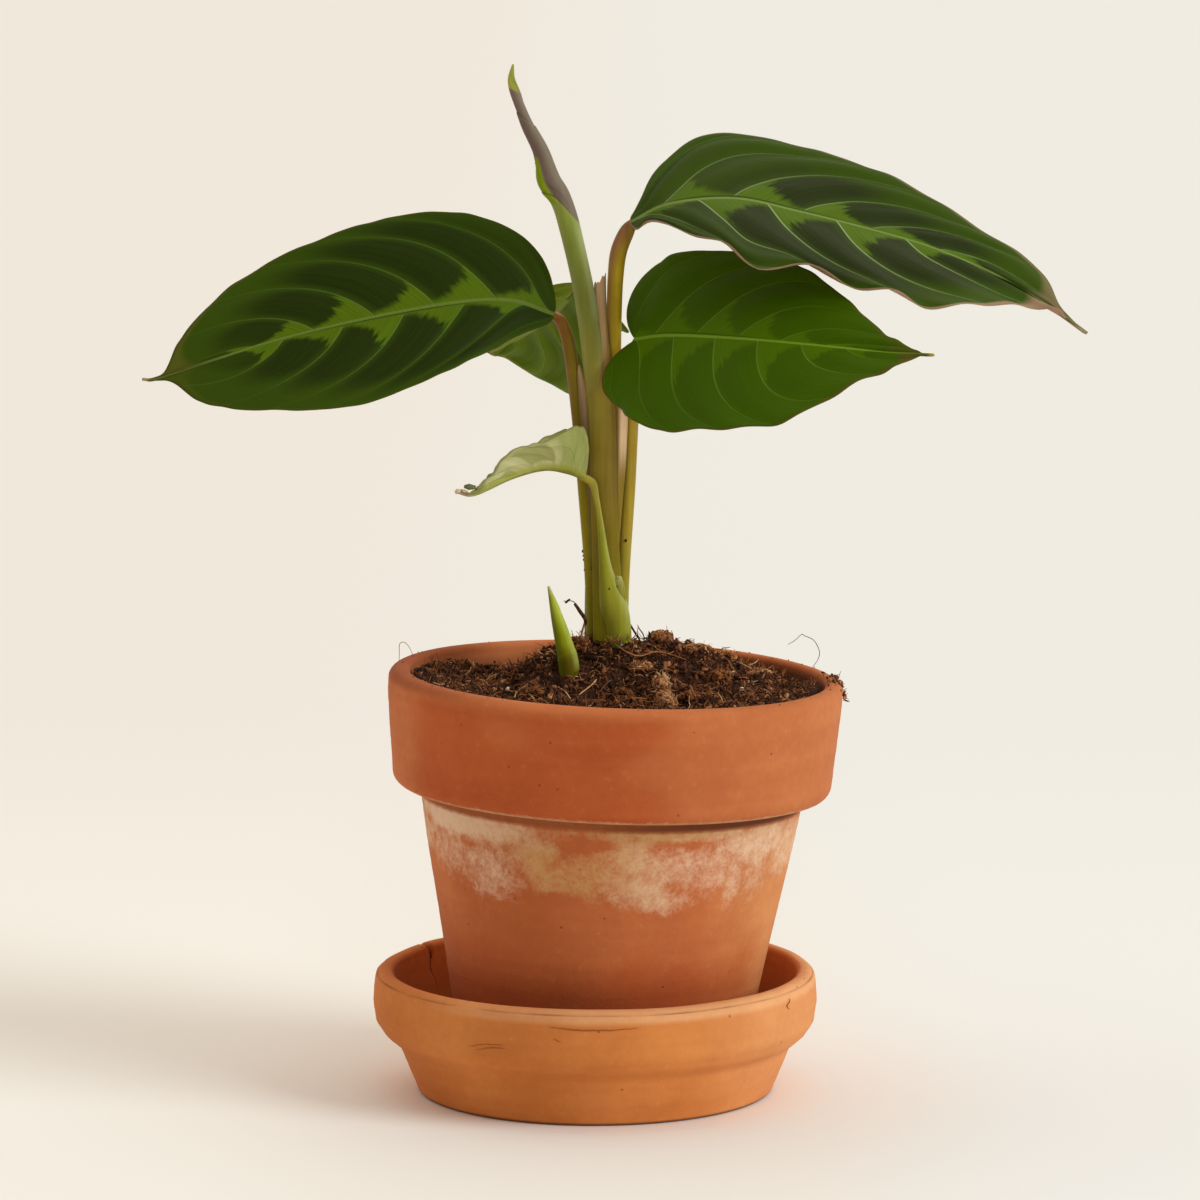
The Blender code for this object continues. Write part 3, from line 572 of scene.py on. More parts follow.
def make_saucer(finish):
    """The saucer, a little uneven, with a turned line round its lip and a crack at the back left; painted
    shade darkens the line, the foot and the floor by the pot.
    """
    rim, inner, step, top = SAUCER_RIM_R, SAUCER_RIM_INNER_R, SAUCER_STEP_Z, SAUCER_HEIGHT
    profile = [
        (0.0, 0.0), (SAUCER_BASE_R - 1.6, 0.0), *arc(SAUCER_BASE_R - 1.6, 1.6, 1.6, -90, -12, 6),
        (SAUCER_STEP_R - 0.6, step - 1.4), (SAUCER_STEP_R, step), (rim - 5.0, step + 1.4),
        (rim - 2.8, step + 3.2), (rim - 0.6, step + 6.5), (rim, step + 11.5),
        *arc(rim - 3.3, top - 2.9, 2.9, 0, 28, 4), (rim - 0.98, top - 1.34), (rim - 1.12, top - 1.30),
        *arc(rim - 3.3, top - 2.5, 2.5, 32, 90, 6), *arc(inner + 1.8, top - 1.8, 1.8, 90, 180, 6),
        (inner - 2.4, 21.0), (inner - 5.6, SAUCER_FLOOR + 3.0), (inner - 7.2, SAUCER_FLOOR + 0.6),
        (inner - 8.6, SAUCER_FLOOR), (0.0, SAUCER_FLOOR)]
    near_crack = [CRACK_ANGLE + CRACK_SPACING * k for k in range(-CRACK_COLUMNS, CRACK_COLUMNS + 1)]
    angles = sorted(even_angles(SAUCER_SIDES * FINE) + near_crack)
    dirt_and_shade, wear_and_sheen = [], []

    def place(radius, angle, height):
        x, y = radius * cos(angle), radius * sin(angle)
        wall = ease(radius, 46.0, 56.0)
        lump = cloud(0.045, x, y, height * 2.0) * 0.35
        fine = cloud(0.22, x, y, height * 3.0) * 0.10
        away = abs(angle - CRACK_ANGLE - 0.012 * sin(height * 0.7)) * radius
        wide = 0.5 + 0.8 * ease(height, top - 5.0, top)
        depth = ease(height, 20.0, top) * ease(away, wide, 0.2 * wide) * wall
        swell = (lump + fine) * wall * ease(height, 0.5, 4.0)
        scale = (radius + swell) / radius if radius > 0.0 else 1.0
        # Painted shade: a thin dark line in the groove under the lip, stronger in some places than others.
        groove_shade_strength = 0.5 + cloud(1.0, angle * 5.0, 2.0, 0.0)
        groove = 0.6 * groove_shade_strength * ease(abs(height - top + 1.3), 0.25, 0.03)
        groove *= ease(radius, rim - 2.0, rim - 1.2)
        # Painted shadow: a dark contact line along the bottom of the foot.
        foot = 0.8 * ease(height, 1.3, 0.3) * ease(radius, 46.0, 50.0)
        # Painted shade: the saucer's floor and the foot of its inner wall, in the gap round the pot, are
        # darkened.
        floor = 0.55 * ease(radius, 54.0, 50.0) * ease(height, 7.0, 8.0)
        # The crack is darkened too.
        dirt_and_shade.append(min(1.0, depth + max(groove, foot, floor)))
        # Partly wear, partly painted sheen: the lip's top towards the front right and the right side, which
        # face the key light, are paler.
        lip = ease(height, top - 4.2, top - 2.8) * ease(x - y, -20.0, 50.0)
        under = ease(height, step + 2.0, step + 1.0) * ease(radius, 50.0, 51.5)
        outside = max(ease(radius, inner + 0.6, inner + 2.1), under)
        wear_and_sheen.append(outside * max(lip, 0.5 * ease(x, 20.0, 58.0)))
        rise = wall * lump * 0.8 * ease(height, 12.0, 30.0)
        return x * scale, y * scale, height - depth * CRACK_DEPTH + rise

    points, faces = turned(split(profile, SAUCER_STRETCH[FINE - 1]), angles, place)
    piece("saucer_fine", points, faces, finish, ("saucer",), "saucer_clay", {"grime_and_shade": dirt_and_shade, "dust_and_sheen": wear_and_sheen})
    cracks = Bits(3)
    for thick, marks in HAIR_CRACKS:
        places = [Vector(place(rim - 0.12, radians(turn), height)) for turn, height in marks]
        path = along_path(places, 30)
        wander = [point + Vector((0.0, 0.0, 0.16 * cloud(0.9, *point))) for point in path]
        cracks.fibre(wander, thick, 0.0, 6, 0.7)
    cracks.show("saucer_cracks", crumb_finish("crack_dirt", (0.0, (158, 86, 40)), (1.0, (176, 100, 52))),
                "saucer_clay")


def lean(x, y, height):
    """Where a point of the pot stands: the walls lean a little to +X over a flat base."""
    blend = min(max(height / POT_LEAN_BLEND, 0.0), 1.0)
    return (POT_OFFSET_X + x + height * tan(POT_LEAN) * blend,
            y,
            POT_Z + height - x * sin(POT_LEAN) * blend)


def pot_inner_radius(height):
    """Radius of the pot's inside at a height."""
    if height > POT_NECK_H - 2.0:
        rise = (height - POT_NECK_H + 2.0) / (POT_HEIGHT - POT_NECK_H)
        return POT_RIM_INNER_R - 1.6 + 1.4 * min(rise, 1.0)
    wall_low, wall_high = POT_BASE_R - 6.0, POT_NECK_R - 6.0
    return wall_low + (wall_high - wall_low) * height / (POT_NECK_H - 2.0)


# Chalky patches on the pot's wall: angle round it in degrees with 270 at the front, height,
# half sizes along the wall and up it, strength, and how yellow it is.
# The two thin bands under the collar, at heights 76.6 and 78.4, are partly chalk and partly painted light
# that lifts the shade there.
BLOOM_PATCHES = [
    (214, 75, 26, 5.5, 1.25, 0.05), (208, 66, 12, 8, 0.65, 0), (234, 74, 14, 5, 1.05, 0.5),
    (246, 69, 8, 6, 0.95, 0.9), (229, 62, 12, 9, 0.72, 0.1), (252, 62, 9, 4.5, 0.9, 0.9),
    (264, 63.5, 12, 7, 0.80, 0.9), (276, 69, 7, 7, 0.95, 0.7), (280, 62, 10, 8, 0.85, 0.4),
    (284, 57, 11, 4.5, 0.82, 0.3), (290, 66, 12, 7, 0.72, 0.15), (304, 66, 14, 8, 0.66, 0.1),
    (300, 62, 8, 5, 0.5, 0.1), (312, 61, 4, 8, 0.7, 0.2), (322, 72, 18, 7, 0.9, 0.15),
    (322, 62, 8, 7, 0.55, 0.1), (290, 76.6, 32, 2.9, 1, 0.85), (270, 78.4, 95, 1.1, 1.2, 0.9),
    (345, 68, 20, 9, 0.8, 0.2), (10, 64, 16, 8, 0.7, 0.3), (40, 72, 22, 6, 0.8, 0.2),
    (65, 60, 16, 6, 0.7, 0.5), (90, 70, 20, 6, 0.8, 0.4), (120, 62, 18, 7, 0.75, 0.2),
    (150, 72, 20, 6, 0.85, 0.2), (185, 68, 18, 7, 0.8, 0.1)]


def bloom_at(angle, height):
    """How chalky and how yellow the pot's wall is."""
    turn = degrees(angle) % 360.0
    ragged = cloud(1.0, turn * 0.16, height * 0.35, 3.0)
    strength, yellow, weight = 0.0, 0.0, 0.001
    for centre, level, along, up, amount, ochre in BLOOM_PATCHES:
        across = ((turn - centre + 180.0) % 360.0 - 180.0) * 0.87
        far = hypot(across / along, (height - level) / up) + 0.35 * ragged
        part = amount * ease(far, 1.5, 0.35)
        strength = max(strength, part)
        yellow += ochre * part
        weight += part
    return strength, yellow / weight


def make_pot(finish):
    """The pot: a tapered wall, a deep collar with a rounded lip, and a drain hole."""
    neck, top = POT_NECK_H, POT_HEIGHT
    low = neck + 0.9
    wall_inside = [(pot_inner_radius(height), height) for height in (neck + 1.0, neck - 3.0, POT_FLOOR)]
    profile = [
        (POT_HOLE_R, 0.0), (POT_BASE_R - 1.5, 0.0), *arc(POT_BASE_R - 1.5, 1.5, 1.5, -90, -10, 5),
        (POT_NECK_R - 7.3, neck / 2), (POT_NECK_R, neck), (POT_NECK_R + 0.6, neck + 0.5),
        (POT_NECK_R + 4.0, low), *arc(POT_COLLAR_LOW_R - 3.6, low + 3.7, 3.7, -80, -8, 6),
        (POT_RIM_R, top - 6.0), *arc(POT_RIM_R - 2.8, top - 2.8, 2.8, 12, 90, 7),
        *arc(POT_RIM_INNER_R + 1.6, top - 1.6, 1.6, 90, 180, 5), *wall_inside, (POT_HOLE_R, POT_FLOOR)]
    values = {"bloom_and_painted_light": [], "ochre": [], "grime_and_shade": [], "damp_and_shade": [], "dust_and_sheen": []}

    def place(radius, angle, height):
        x, y = radius * cos(angle), radius * sin(angle)
        inner = pot_inner_radius(min(height, top))
        outside = ease(radius, inner + 1.0, inner + 4.0)
        lump = cloud(0.04, x, y, height) * 0.30
        rings = cloud(1.0, x * 0.02, y * 0.02, height * 0.55) * 0.10
        swell = (lump + rings) * outside * ease(height, 1.0, 6.0)
        strength, yellow = bloom_at(angle, height)
        wall = outside * ease(height, neck + 0.6, neck - 0.3)
        # Partly a chalky deposit, partly painted light: a bright ochre band on the underside of the collar
        # lifts the shade of its overhang.
        lime_and_painted_light = 0.9 * ease(height, low + 1.7, low + 0.3) * ease(height, neck - 0.4, neck)
        lime_and_painted_light *= ease(radius, 55.0, 56.0)
        values["bloom_and_painted_light"].append(max(strength * wall, lime_and_painted_light))
        values["ochre"].append(max(yellow, 0.9 * lime_and_painted_light))
        collar = outside * ease(height, neck - 0.5, neck + 1.0)
        turn = degrees(angle) % 360.0
        patch = 0.5 + cloud(1.0, turn * 0.03, height * 0.05, 7.0)
        # Partly moisture stains, partly painted shade: the front and left of the collar, away from the key
        # light, are darkened in patches.
        damp_and_shade = ease(turn, 202.0, 217.0) * ease(turn, 292.0, 276.0) * collar
        damp_and_shade *= ease(patch, 0.0, 0.45) * ease(height, top, top - 5.0)
        # Partly soiling, partly painted shade: the lip's left side, away from the key light, is darkened.
        edge = ease(-cos(angle), 0.45, 0.9) * ease(height, top - 4.0, top - 1.0)
        fingers = cloud(1.0, turn * 0.06, height * 0.06, 11.0)
        wet = ease(height + 8.0 * fingers, 47.0, 29.0) * ease(turn, 348.0, 322.0) * wall
        wet *= 0.25 + 0.75 * ease(turn, 248.0, 284.0)
        # Painted shade: the front of the wall is darkened a little, against the light that the floor throws
        # back on it.
        middle = 0.16 * wall * exp(-((turn - 274.0) / 30.0) ** 2)
        values["damp_and_shade"].append(max(damp_and_shade, 0.45 * edge, wet, middle))
        # Partly a dusting, partly painted sheen: the right side, facing the key light, is made paler and
        # yellower.
        values["dust_and_sheen"].append(outside * ease(cos(angle), 0.45, 0.9) * (1.0 - 0.60 * collar))
        # Painted shade: a thin dark line in the crease under the collar.
        crease = ease(abs(height - neck - 0.3), 0.4, 0.1) * ease(radius, 54.0, 55.0)
        crease *= ease(radius, 58.5, 56.5)
        foot = 0.35 * ease(height, 34.0, 6.0) * outside
        # Painted shade: the inside of the wall below the lip is darkened, most at the right, which faces away
        # from the key light.
        shadow = ease(x, -15.0, 30.0)
        inside = (0.45 + 0.40 * shadow) * (1.0 - outside)
        inside *= ease(height, 111.5 + 1.4 * shadow, 106.0 + 4.0 * shadow)
        # The dark mark gathers the painted shade of the crease and the inner wall, the lip's left side and a
        # darkening towards the foot.
        values["grime_and_shade"].append(max(0.12 * crease, foot, inside, 0.3 * edge))
        scale = (radius + swell) / radius
        uneven = 0.9 * (1.0 - outside) * ease(height, neck, neck + 6.0) * ease(x, -20.0, 30.0)
        return lean(x * scale + uneven, y * scale, height)

    profile = split(profile, POT_STRETCH[FINE - 1])
    points, faces = turned(profile, even_angles(POT_SIDES * FINE), place, ring=True)
    piece("pot_fine", points, faces, finish, ("pot",), "pot_clay", values)


def soil_height(x, y):
    """Height of the soil's top above the pot's base: uneven, and heaped around the stems."""
    level = (SOIL_LEVEL + SOIL_LEFT_RISE * ease(-x, 26.5, 57.0)
             + SOIL_RIGHT_RISE * ease(x, 5.0, 42.0))
    across, back = x - SOIL_MOUND_CENTRE[0], y - SOIL_MOUND_CENTRE[1]
    left, right, front, rear = SOIL_MOUND_SPREAD
    across /= left if across < 0.0 else right
    back /= front if back < 0.0 else rear
    heap = SOIL_MOUND * exp(-0.5 * across ** 4 - 0.5 * back ** 2)
    lumps = (0.7 * sin(0.31 * x + 0.4) * sin(0.27 * y + 1.1)
             + 0.5 * sin(0.62 * x - 0.45 * y) + 0.3 * sin(0.8 * y + 0.5 * x + 2.0))
    return level + heap + lumps


def soil_top(x, y, rise=0.0):
    """Point on the soil's surface, or above it, in the frame, for a place across the pot."""
    rough = cloud(0.20, x, y, 0.0) * 1.2 + cloud(0.50, x, y, 3.0) * 0.9 + cloud(1.1, x, y, 5.0) * 0.4
    sunk = SOIL_SUNK * ease(x, 13.0, 28.0) * ease(y, 0.0, 20.0)
    top = Vector(lean(x, y, soil_height(x, y) + x * sin(POT_LEAN) + rough - sunk))
    return top + Vector((0.0, 0.0, rise))


def soil_finish():
    """Damp peat between the crumbs."""
    made = Finish("soil_peat", 0.95, 0.15)
    tone = made.noise(made.place(), 420.0, 4.0, 0.7)
    made.colour = made.ramp(tone, (0.3, (26, 15, 10)), (0.52, (58, 34, 21)), (0.72, (96, 60, 36)))
    return made.done(tone, 0.8, 0.0012)


def make_soil():
    """The soil's own surface, under the crumbs."""
    profile = [(0.0, POT_FLOOR + 0.4)]
    for height in (POT_FLOOR, POT_NECK_H - 3.0, POT_NECK_H + 1.0, POT_HEIGHT - 10.0):
        profile.append((pot_inner_radius(height) - 0.35, height + 0.4))
    rings = SOIL_RINGS * FINE
    rim = profile[-1][0]
    profile += [(rim * (1.0 - i / rings) - 0.1, POT_HEIGHT) for i in range(rings)] + [(0.0, POT_HEIGHT)]

    def place(radius, angle, height):
        x, y = radius * cos(angle), radius * sin(angle)
        return lean(x, y, height) if height < POT_HEIGHT else soil_top(x, y)

    points, faces = turned(profile, even_angles(SOIL_SIDES * FINE), place)
    piece("soil_bed", points, faces, soil_finish(), ("soil",), "soil", {})


def crumb_finish(name, *stops):
    """Coir and peat bits: each has its own tone, with a fine grain."""
    made = Finish(name, 0.9, 0.2)
    where = made.place()
    [tone] = made.given("tone")
    made.colour = made.ramp(tone + (made.noise(where, 900.0) - 0.5) * 0.5, *stops)
    return made.done(made.noise(where, 1500.0), 0.5, 0.0004)


# A crumb has the corners and the faces of an icosahedron.
CRUMB_CORNERS = [(0, 0, 1), (0.89, 0, 0.45), (0.28, 0.85, 0.45), (-0.72, 0.53, 0.45),
                 (-0.72, -0.53, 0.45), (0.28, -0.85, 0.45), (0.72, 0.53, -0.45), (-0.28, 0.85, -0.45),
                 (-0.89, 0, -0.45), (-0.28, -0.85, -0.45), (0.72, -0.53, -0.45), (0, 0, -1)]
CRUMB_FACES = ([(0, i, i % 5 + 1) for i in range(1, 6)]
               + [(i, (i - 2) % 5 + 6, (i - 1) % 5 + 6) for i in range(1, 6)]
               + [(i, (i - 1) % 5 + 6, i % 5 + 1) for i in range(1, 6)]
               + [(11, (i + 1) % 5 + 6, i + 6) for i in range(5)])


def ring_frames(centres, side):
    """Two directions across a path at each centre, carried along it without twist."""
    last = len(centres) - 1
    for i in range(last + 1):
        ahead = (centres[min(i + 1, last)] - centres[max(i - 1, 0)]).normalized()
        side = (side - ahead * side.dot(ahead)).normalized()
        yield side, ahead.cross(side)


def tube_faces(start, rings, sides):
    """Faces of a closed tube whose rings of points begin at a number."""
    faces = [tuple(start + k for k in reversed(range(sides)))]
    for a in range(start, start + rings * sides, sides):
        for k in range(sides):
            n = (k + 1) % sides
            faces.append((a + k, a + n, a + sides + n, a + sides + k))
    faces.append(tuple(start + rings * sides + k for k in range(sides)))
    return faces


class Bits:
    """Many small closed bits gathered in one mesh."""

    def __init__(self, seed):
        self.random = random.Random(seed)
        self.points, self.faces, self.tones = [], [], []

    def crumb(self, centre, size, tone, turn=None):
        """An uneven crumb of sizes along its own three axes."""
        dice = self.random
        turn = turn or Euler(draws(dice, 0.0, 6.28))
        spin = turn.to_matrix()
        start = len(self.points)
        for corner in CRUMB_CORNERS:
            bent = Vector([c * s * dice.uniform(0.7, 1.3) for c, s in zip(corner, size)])
            self.points.append(Vector(centre) + spin @ bent)
        self.faces += [tuple(start + k for k in face) for face in CRUMB_FACES]
        self.tones += [tone] * len(CRUMB_CORNERS)

    def fibre(self, points, thick, tone, sides=3, taper=0.5):
        """A thin round fibre through points, thinner at its ends."""
        last = len(points) - 1
        self.faces += tube_faces(len(self.points), last, sides)
        for i, (side, up) in enumerate(ring_frames(points, Vector((0.3, 0.5, 0.8)).normalized())):
            radius = thick * (1.0 - taper * abs(2.0 * i / last - 1.0) ** 2)
            for k in range(sides):
                angle = TURN * k / sides
                self.points.append(points[i] + (side * cos(angle) + up * sin(angle)) * radius)
        self.tones += [tone] * (sides * len(points))

    def curl(self, start, ahead, length, bend, steps):
        """Points of a short fibre that wanders from a start."""
        points, way = [Vector(start)], Vector(ahead).normalized()
        for _ in range(steps):
            way = (way + Vector(draws(self.random, -bend, bend))).normalized()
            points.append(points[-1] + way * (length / steps))
        return points

    def show(self, name, material, slot="soil"):
        piece(name, self.points, self.faces, material, (), slot, {"tone": self.tones})


def random_spot(dice):
    """A random place across the soil, even over its area."""
    radius = (POT_RIM_INNER_R - 2.2) * sqrt(dice.random())
    angle = dice.uniform(0.0, TURN)
    return radius * cos(angle), radius * sin(angle)


# How many crumbs, grains and hairs lie on the soil at the coarse setting, and how many crumbs are
# caught at the right of the pot's lip and all round it.
CRUMB_COUNT = 2500
GRAIN_COUNT = 3000
HAIR_COUNT = 2100
CORNER_CRUMBS = 90
LIP_CRUMBS = 70

# White grains on the soil, and two chips of bark with their place, rise, sizes, tone and turn.
PERLITE = ((1.3, 5.2), (14.6, -12), (-31, -6), (36, -16))
BARK_CHIPS = ((-6.4, -1, 1.6, (3.6, 1, 1), 0.04, (0.3, 0.05, 0.1)),
              (-12.6, -3.8, 0.9, (1.5, 0.8, 0.6), 0.75, (0, 0.2, 0.6)))

# Coir that lies on the soil: clumps of fibre with their place across the pot, sizes and tone.
COIR_CLUMPS = [
    (15.2, -24, (2.4, 1.8, 2.6), 150, 0.90), (14, -19, (2.4, 3.6, 2.6), 190, 0.80),
    (12.8, -12.5, (2.4, 3.4, 2.2), 160, 0.95),
    (12.6, 13.5, (3.2, 2.4, 1.5), 150, 0.8), (6.8, -3, (3.6, 2.8, 1.4), 130, 0.85),
    (23.9, 4.2, (3.4, 2.4, 0.9), 110, 0.95),
    (-11.5, 5, (3, 2.2, 2.4), 70, 0.45), (31, 13, (3.8, 2.8, 1.7), 110, 0.75),
    (41, 2, (4, 3.4, 1.5), 90, 0.80), (30, -8, (3.6, 3, 1.6), 80, 0.60),
    (-24, -12, (3.2, 2.6, 1.4), 60, 0.45), (-38, 6, (3.6, 3, 1.4), 60, 0.40),
    (21, -22, (3, 2.4, 1.6), 60, 0.50), (2, -16, (3, 2.2, 1.6), 60, 0.40)]

# Single fibres and roots: thickness, tone, how high they lie, and places across the pot.
LONG_FIBRES = [
    (0.22, 0.62, 1, [(-1.9, 6.5), (2.9, -0.8), (6.7, 0.2), (11, 1), (15.8, 1), (19.9, -3.5)]),
    (0.22, 0.95, 0.9, [(-28.9, -14.8), (-28, -9), (-25.2, -9.8)]),
    (0.20, 0.95, 1.2, [(-16.4, -10.5), (-14.3, -14.2), (-12.8, -19.8)]),
    (0.20, 0.95, 1.4, [(-10.5, -18.2), (-7.2, -13.8), (-5.6, -11.8)]),
    (0.18, 0.85, 0.8, [(-43.5, 3.8), (-41.6, 3.8), (-39, 5)]),
    (0.20, 0.85, 1, [(-20.4, 6.2), (-17.3, 8.2), (-15, 8)]),
    (0.20, 0.80, 1.4, [(47, 20), (47.6, 24), (50, 27.5), (52.6, 24.5), (53.4, 20)]),
    (0.20, 0.80, 0.8, [(31, 7), (36, 3), (41, 2)]),
    (0.24, 0.50, 1, [(1, -20), (5, -21.5), (9, -20)])]

# Hairs that stand clear of the pot, and bits that stick to it and to the stems, in the frame.
RIM_CORNER = [(66.4, 2, 120.4), (69.4, 2, 119.6), (71.2, 2, 117.4), (71.8, 2, 114.6)]
STEM_FOOT_TOP = 130.0
STEM_FEET = [(7, 4.4, 34), (-1.4, 12, 16)]
FREE_HAIRS = [
    (0.60, 0.12, [(-5.9, 8, 140.8), (-4.4, 8, 138.6), (-2.9, 8.5, 136.2), (-2.8, 8.8, 134.4)]),
    (0.32, 0.60, [(-3, 8.6, 135.4), (-3.6, 8.4, 133.2), (-4.4, 8, 130)]),
    (0.32, 0.03, [(9.6, 9.5, 135.4), (11, 9, 133), (13.2, 8, 129.6)]),
    (0.12, 0.95, [(11.6, 8.4, 131), (12.2, 8.2, 132.6), (12.4, 8, 134.2)]),
    (0.11, 0.10, [(56.4, 30, 125.4), (58.4, 30, 126.6), (60.4, 30, 128.4), (61.2, 30, 128),
                  (64, 30, 126.6), (65.6, 30, 123.4), (65.2, 30, 121), (63.6, 30, 118.6)]),
    (0.10, 0.45, [(-56.8, 10, 122.6), (-56.7, 10, 126), (-56.6, 10, 128.6), (-55.4, 10, 129.2),
                  (-54, 10, 128), (-52.8, 10, 125.6)]),
    (0.14, 0.15, [(-5.2, 7.6, 139.8), (-6.4, 6.8, 141.6), (-9.2, 6, 141.8)])]
STUCK_BITS = [
    ((8.9, 12.9, 158.5), (0.45, 0.3, 0.6), 0), ((4.1, 5.5, 145.5), (0.35, 0.25, 0.5), 0.05),
    ((6.6, 6.5, 148.2), (0.25, 0.2, 0.3), 0.1), ((6.4, 6, 146), (0.2, 0.2, 0.3), 0.1),
    ((-3.6, 15, 155), (0.5, 0.3, 0.4), 0.2), ((-3, 14.6, 149.7), (0.45, 0.3, 0.5), 0.2),
    ((-3.3, 14.8, 152.6), (0.35, 0.3, 0.4), 0.3), ((-3.4, 14.9, 153.8), (0.3, 0.3, 0.5), 0.4),
    ((-8, 6, 141.8), (1.5, 0.4, 0.5), 0.15),
    ((72.4, 3, 113.2), (1.3, 0.3, 0.25), 0), ((67, -8, 119.6), (0.6, 0.5, 0.3), 0.5),
    ((-56.6, 2, 122.6), (0.6, 0.5, 0.4), 0.1), ((-54.6, -4, 122.2), (0.5, 0.4, 0.3), 0.3),
    ((-56, 8, 122.8), (0.5, 0.4, 0.3), 0.2), ((-53.2, 14, 123), (0.6, 0.5, 0.4), 0.3)]


def patchy(dice, x, y):
    """A random tone that is lighter or darker from one patch of soil to the next."""
    patch = 0.5 + cloud(0.22, x, y, 9.0) + 0.5 * cloud(0.6, x, y, 2.0)
    return min(max(0.25 * dice.random() + 0.9 * dice.random() * patch, 0.0), 1.0)


def sized(way, size):
    """A vector with each part multiplied by a size of its own."""
    return Vector([w * s for w, s in zip(way, size)])


def clump(bits, x, y, size, count, tone):
    """A matted clump of coir: crumbs with fibres wound round them, mostly one way."""
    dice = bits.random

    def any_way():
        return Vector([dice.gauss(0.0, 1.0) for _ in range(3)])

    middle = soil_top(x, y, size[2] * 0.35)
    grain = any_way().normalized()
    for _ in range(count):
        way = any_way().normalized()
        place = middle + sized(way, size) * dice.uniform(0.75, 1.0)
        flow = grain + 0.55 * any_way()
        flow = (flow - way * flow.dot(way)).normalized() * dice.uniform(0.12, 0.24)
        points = []
        for step in range(6):
            around = (way + flow * step).normalized() * (1.0 + 0.05 * dice.gauss(0.0, 1.0))
            points.append(middle + sized(around, size))
        bits.fibre(points, dice.uniform(0.07, 0.20), tone * dice.uniform(0.45, 1.3))
        bits.crumb(place, draws(dice, 0.3, 0.9), tone * dice.uniform(0.2, 1.0))
        if dice.random() < 0.4:
            loose = bits.curl(place, way + grain, dice.uniform(1.0, 3.2), 0.5, 5)
            bits.fibre(loose, dice.uniform(0.06, 0.12), tone * dice.uniform(0.6, 1.3))


def rim_dirt(grains, fibres):
    """Peat caught on the pot's lip, most of it at the right, and hairs round the stems' feet."""
    dice = grains.random
    corner = [Vector(place) for place in RIM_CORNER]
    for _ in range(CORNER_CRUMBS):
        where = smooth_at(corner, dice.random() ** 0.8) + Vector(draws(dice, -0.6, 0.6))
        where.y += dice.gauss(0.0, 4.0)
        where.x -= 0.008 * where.y ** 2
        grains.crumb(where, draws(dice, 0.15, 0.6), dice.uniform(0.1, 0.9))
        if dice.random() < 0.35:
            ahead = (dice.uniform(-0.2, 1.0), dice.uniform(-0.6, 0.6), dice.uniform(-0.8, 0.5))
            hair = fibres.curl(where, ahead, dice.uniform(0.8, 2.4), 0.4, 4)
            fibres.fibre(hair, 0.10, dice.uniform(0.2, 0.8))
    for _ in range(LIP_CRUMBS):
        turn = dice.uniform(0.0, TURN)
        radius = POT_RIM_INNER_R + 1.4 + 3.0 * dice.random() ** 1.5
        size = dice.uniform(0.08, 0.24)
        spot = lean(radius * cos(turn), radius * sin(turn), POT_HEIGHT)
        grains.crumb(spot, [size * part for part in draws(dice, 0.7, 1.4)], dice.uniform(0.0, 0.6))
    for x, y, count in STEM_FEET:
        for _ in range(count):
            place = Vector((x + dice.uniform(-3.6, 3.6), y + dice.uniform(-0.8, 0.8),
                            STEM_FOOT_TOP + dice.uniform(-0.6, 0.8)))
            ahead = (dice.uniform(-0.6, 0.6), -0.2, dice.uniform(0.2, 1.0))
            hair = fibres.curl(place, ahead, dice.uniform(1.2, 3.2), 0.35, 4)
            fibres.fibre(hair, 0.11, dice.uniform(0.3, 1.0))


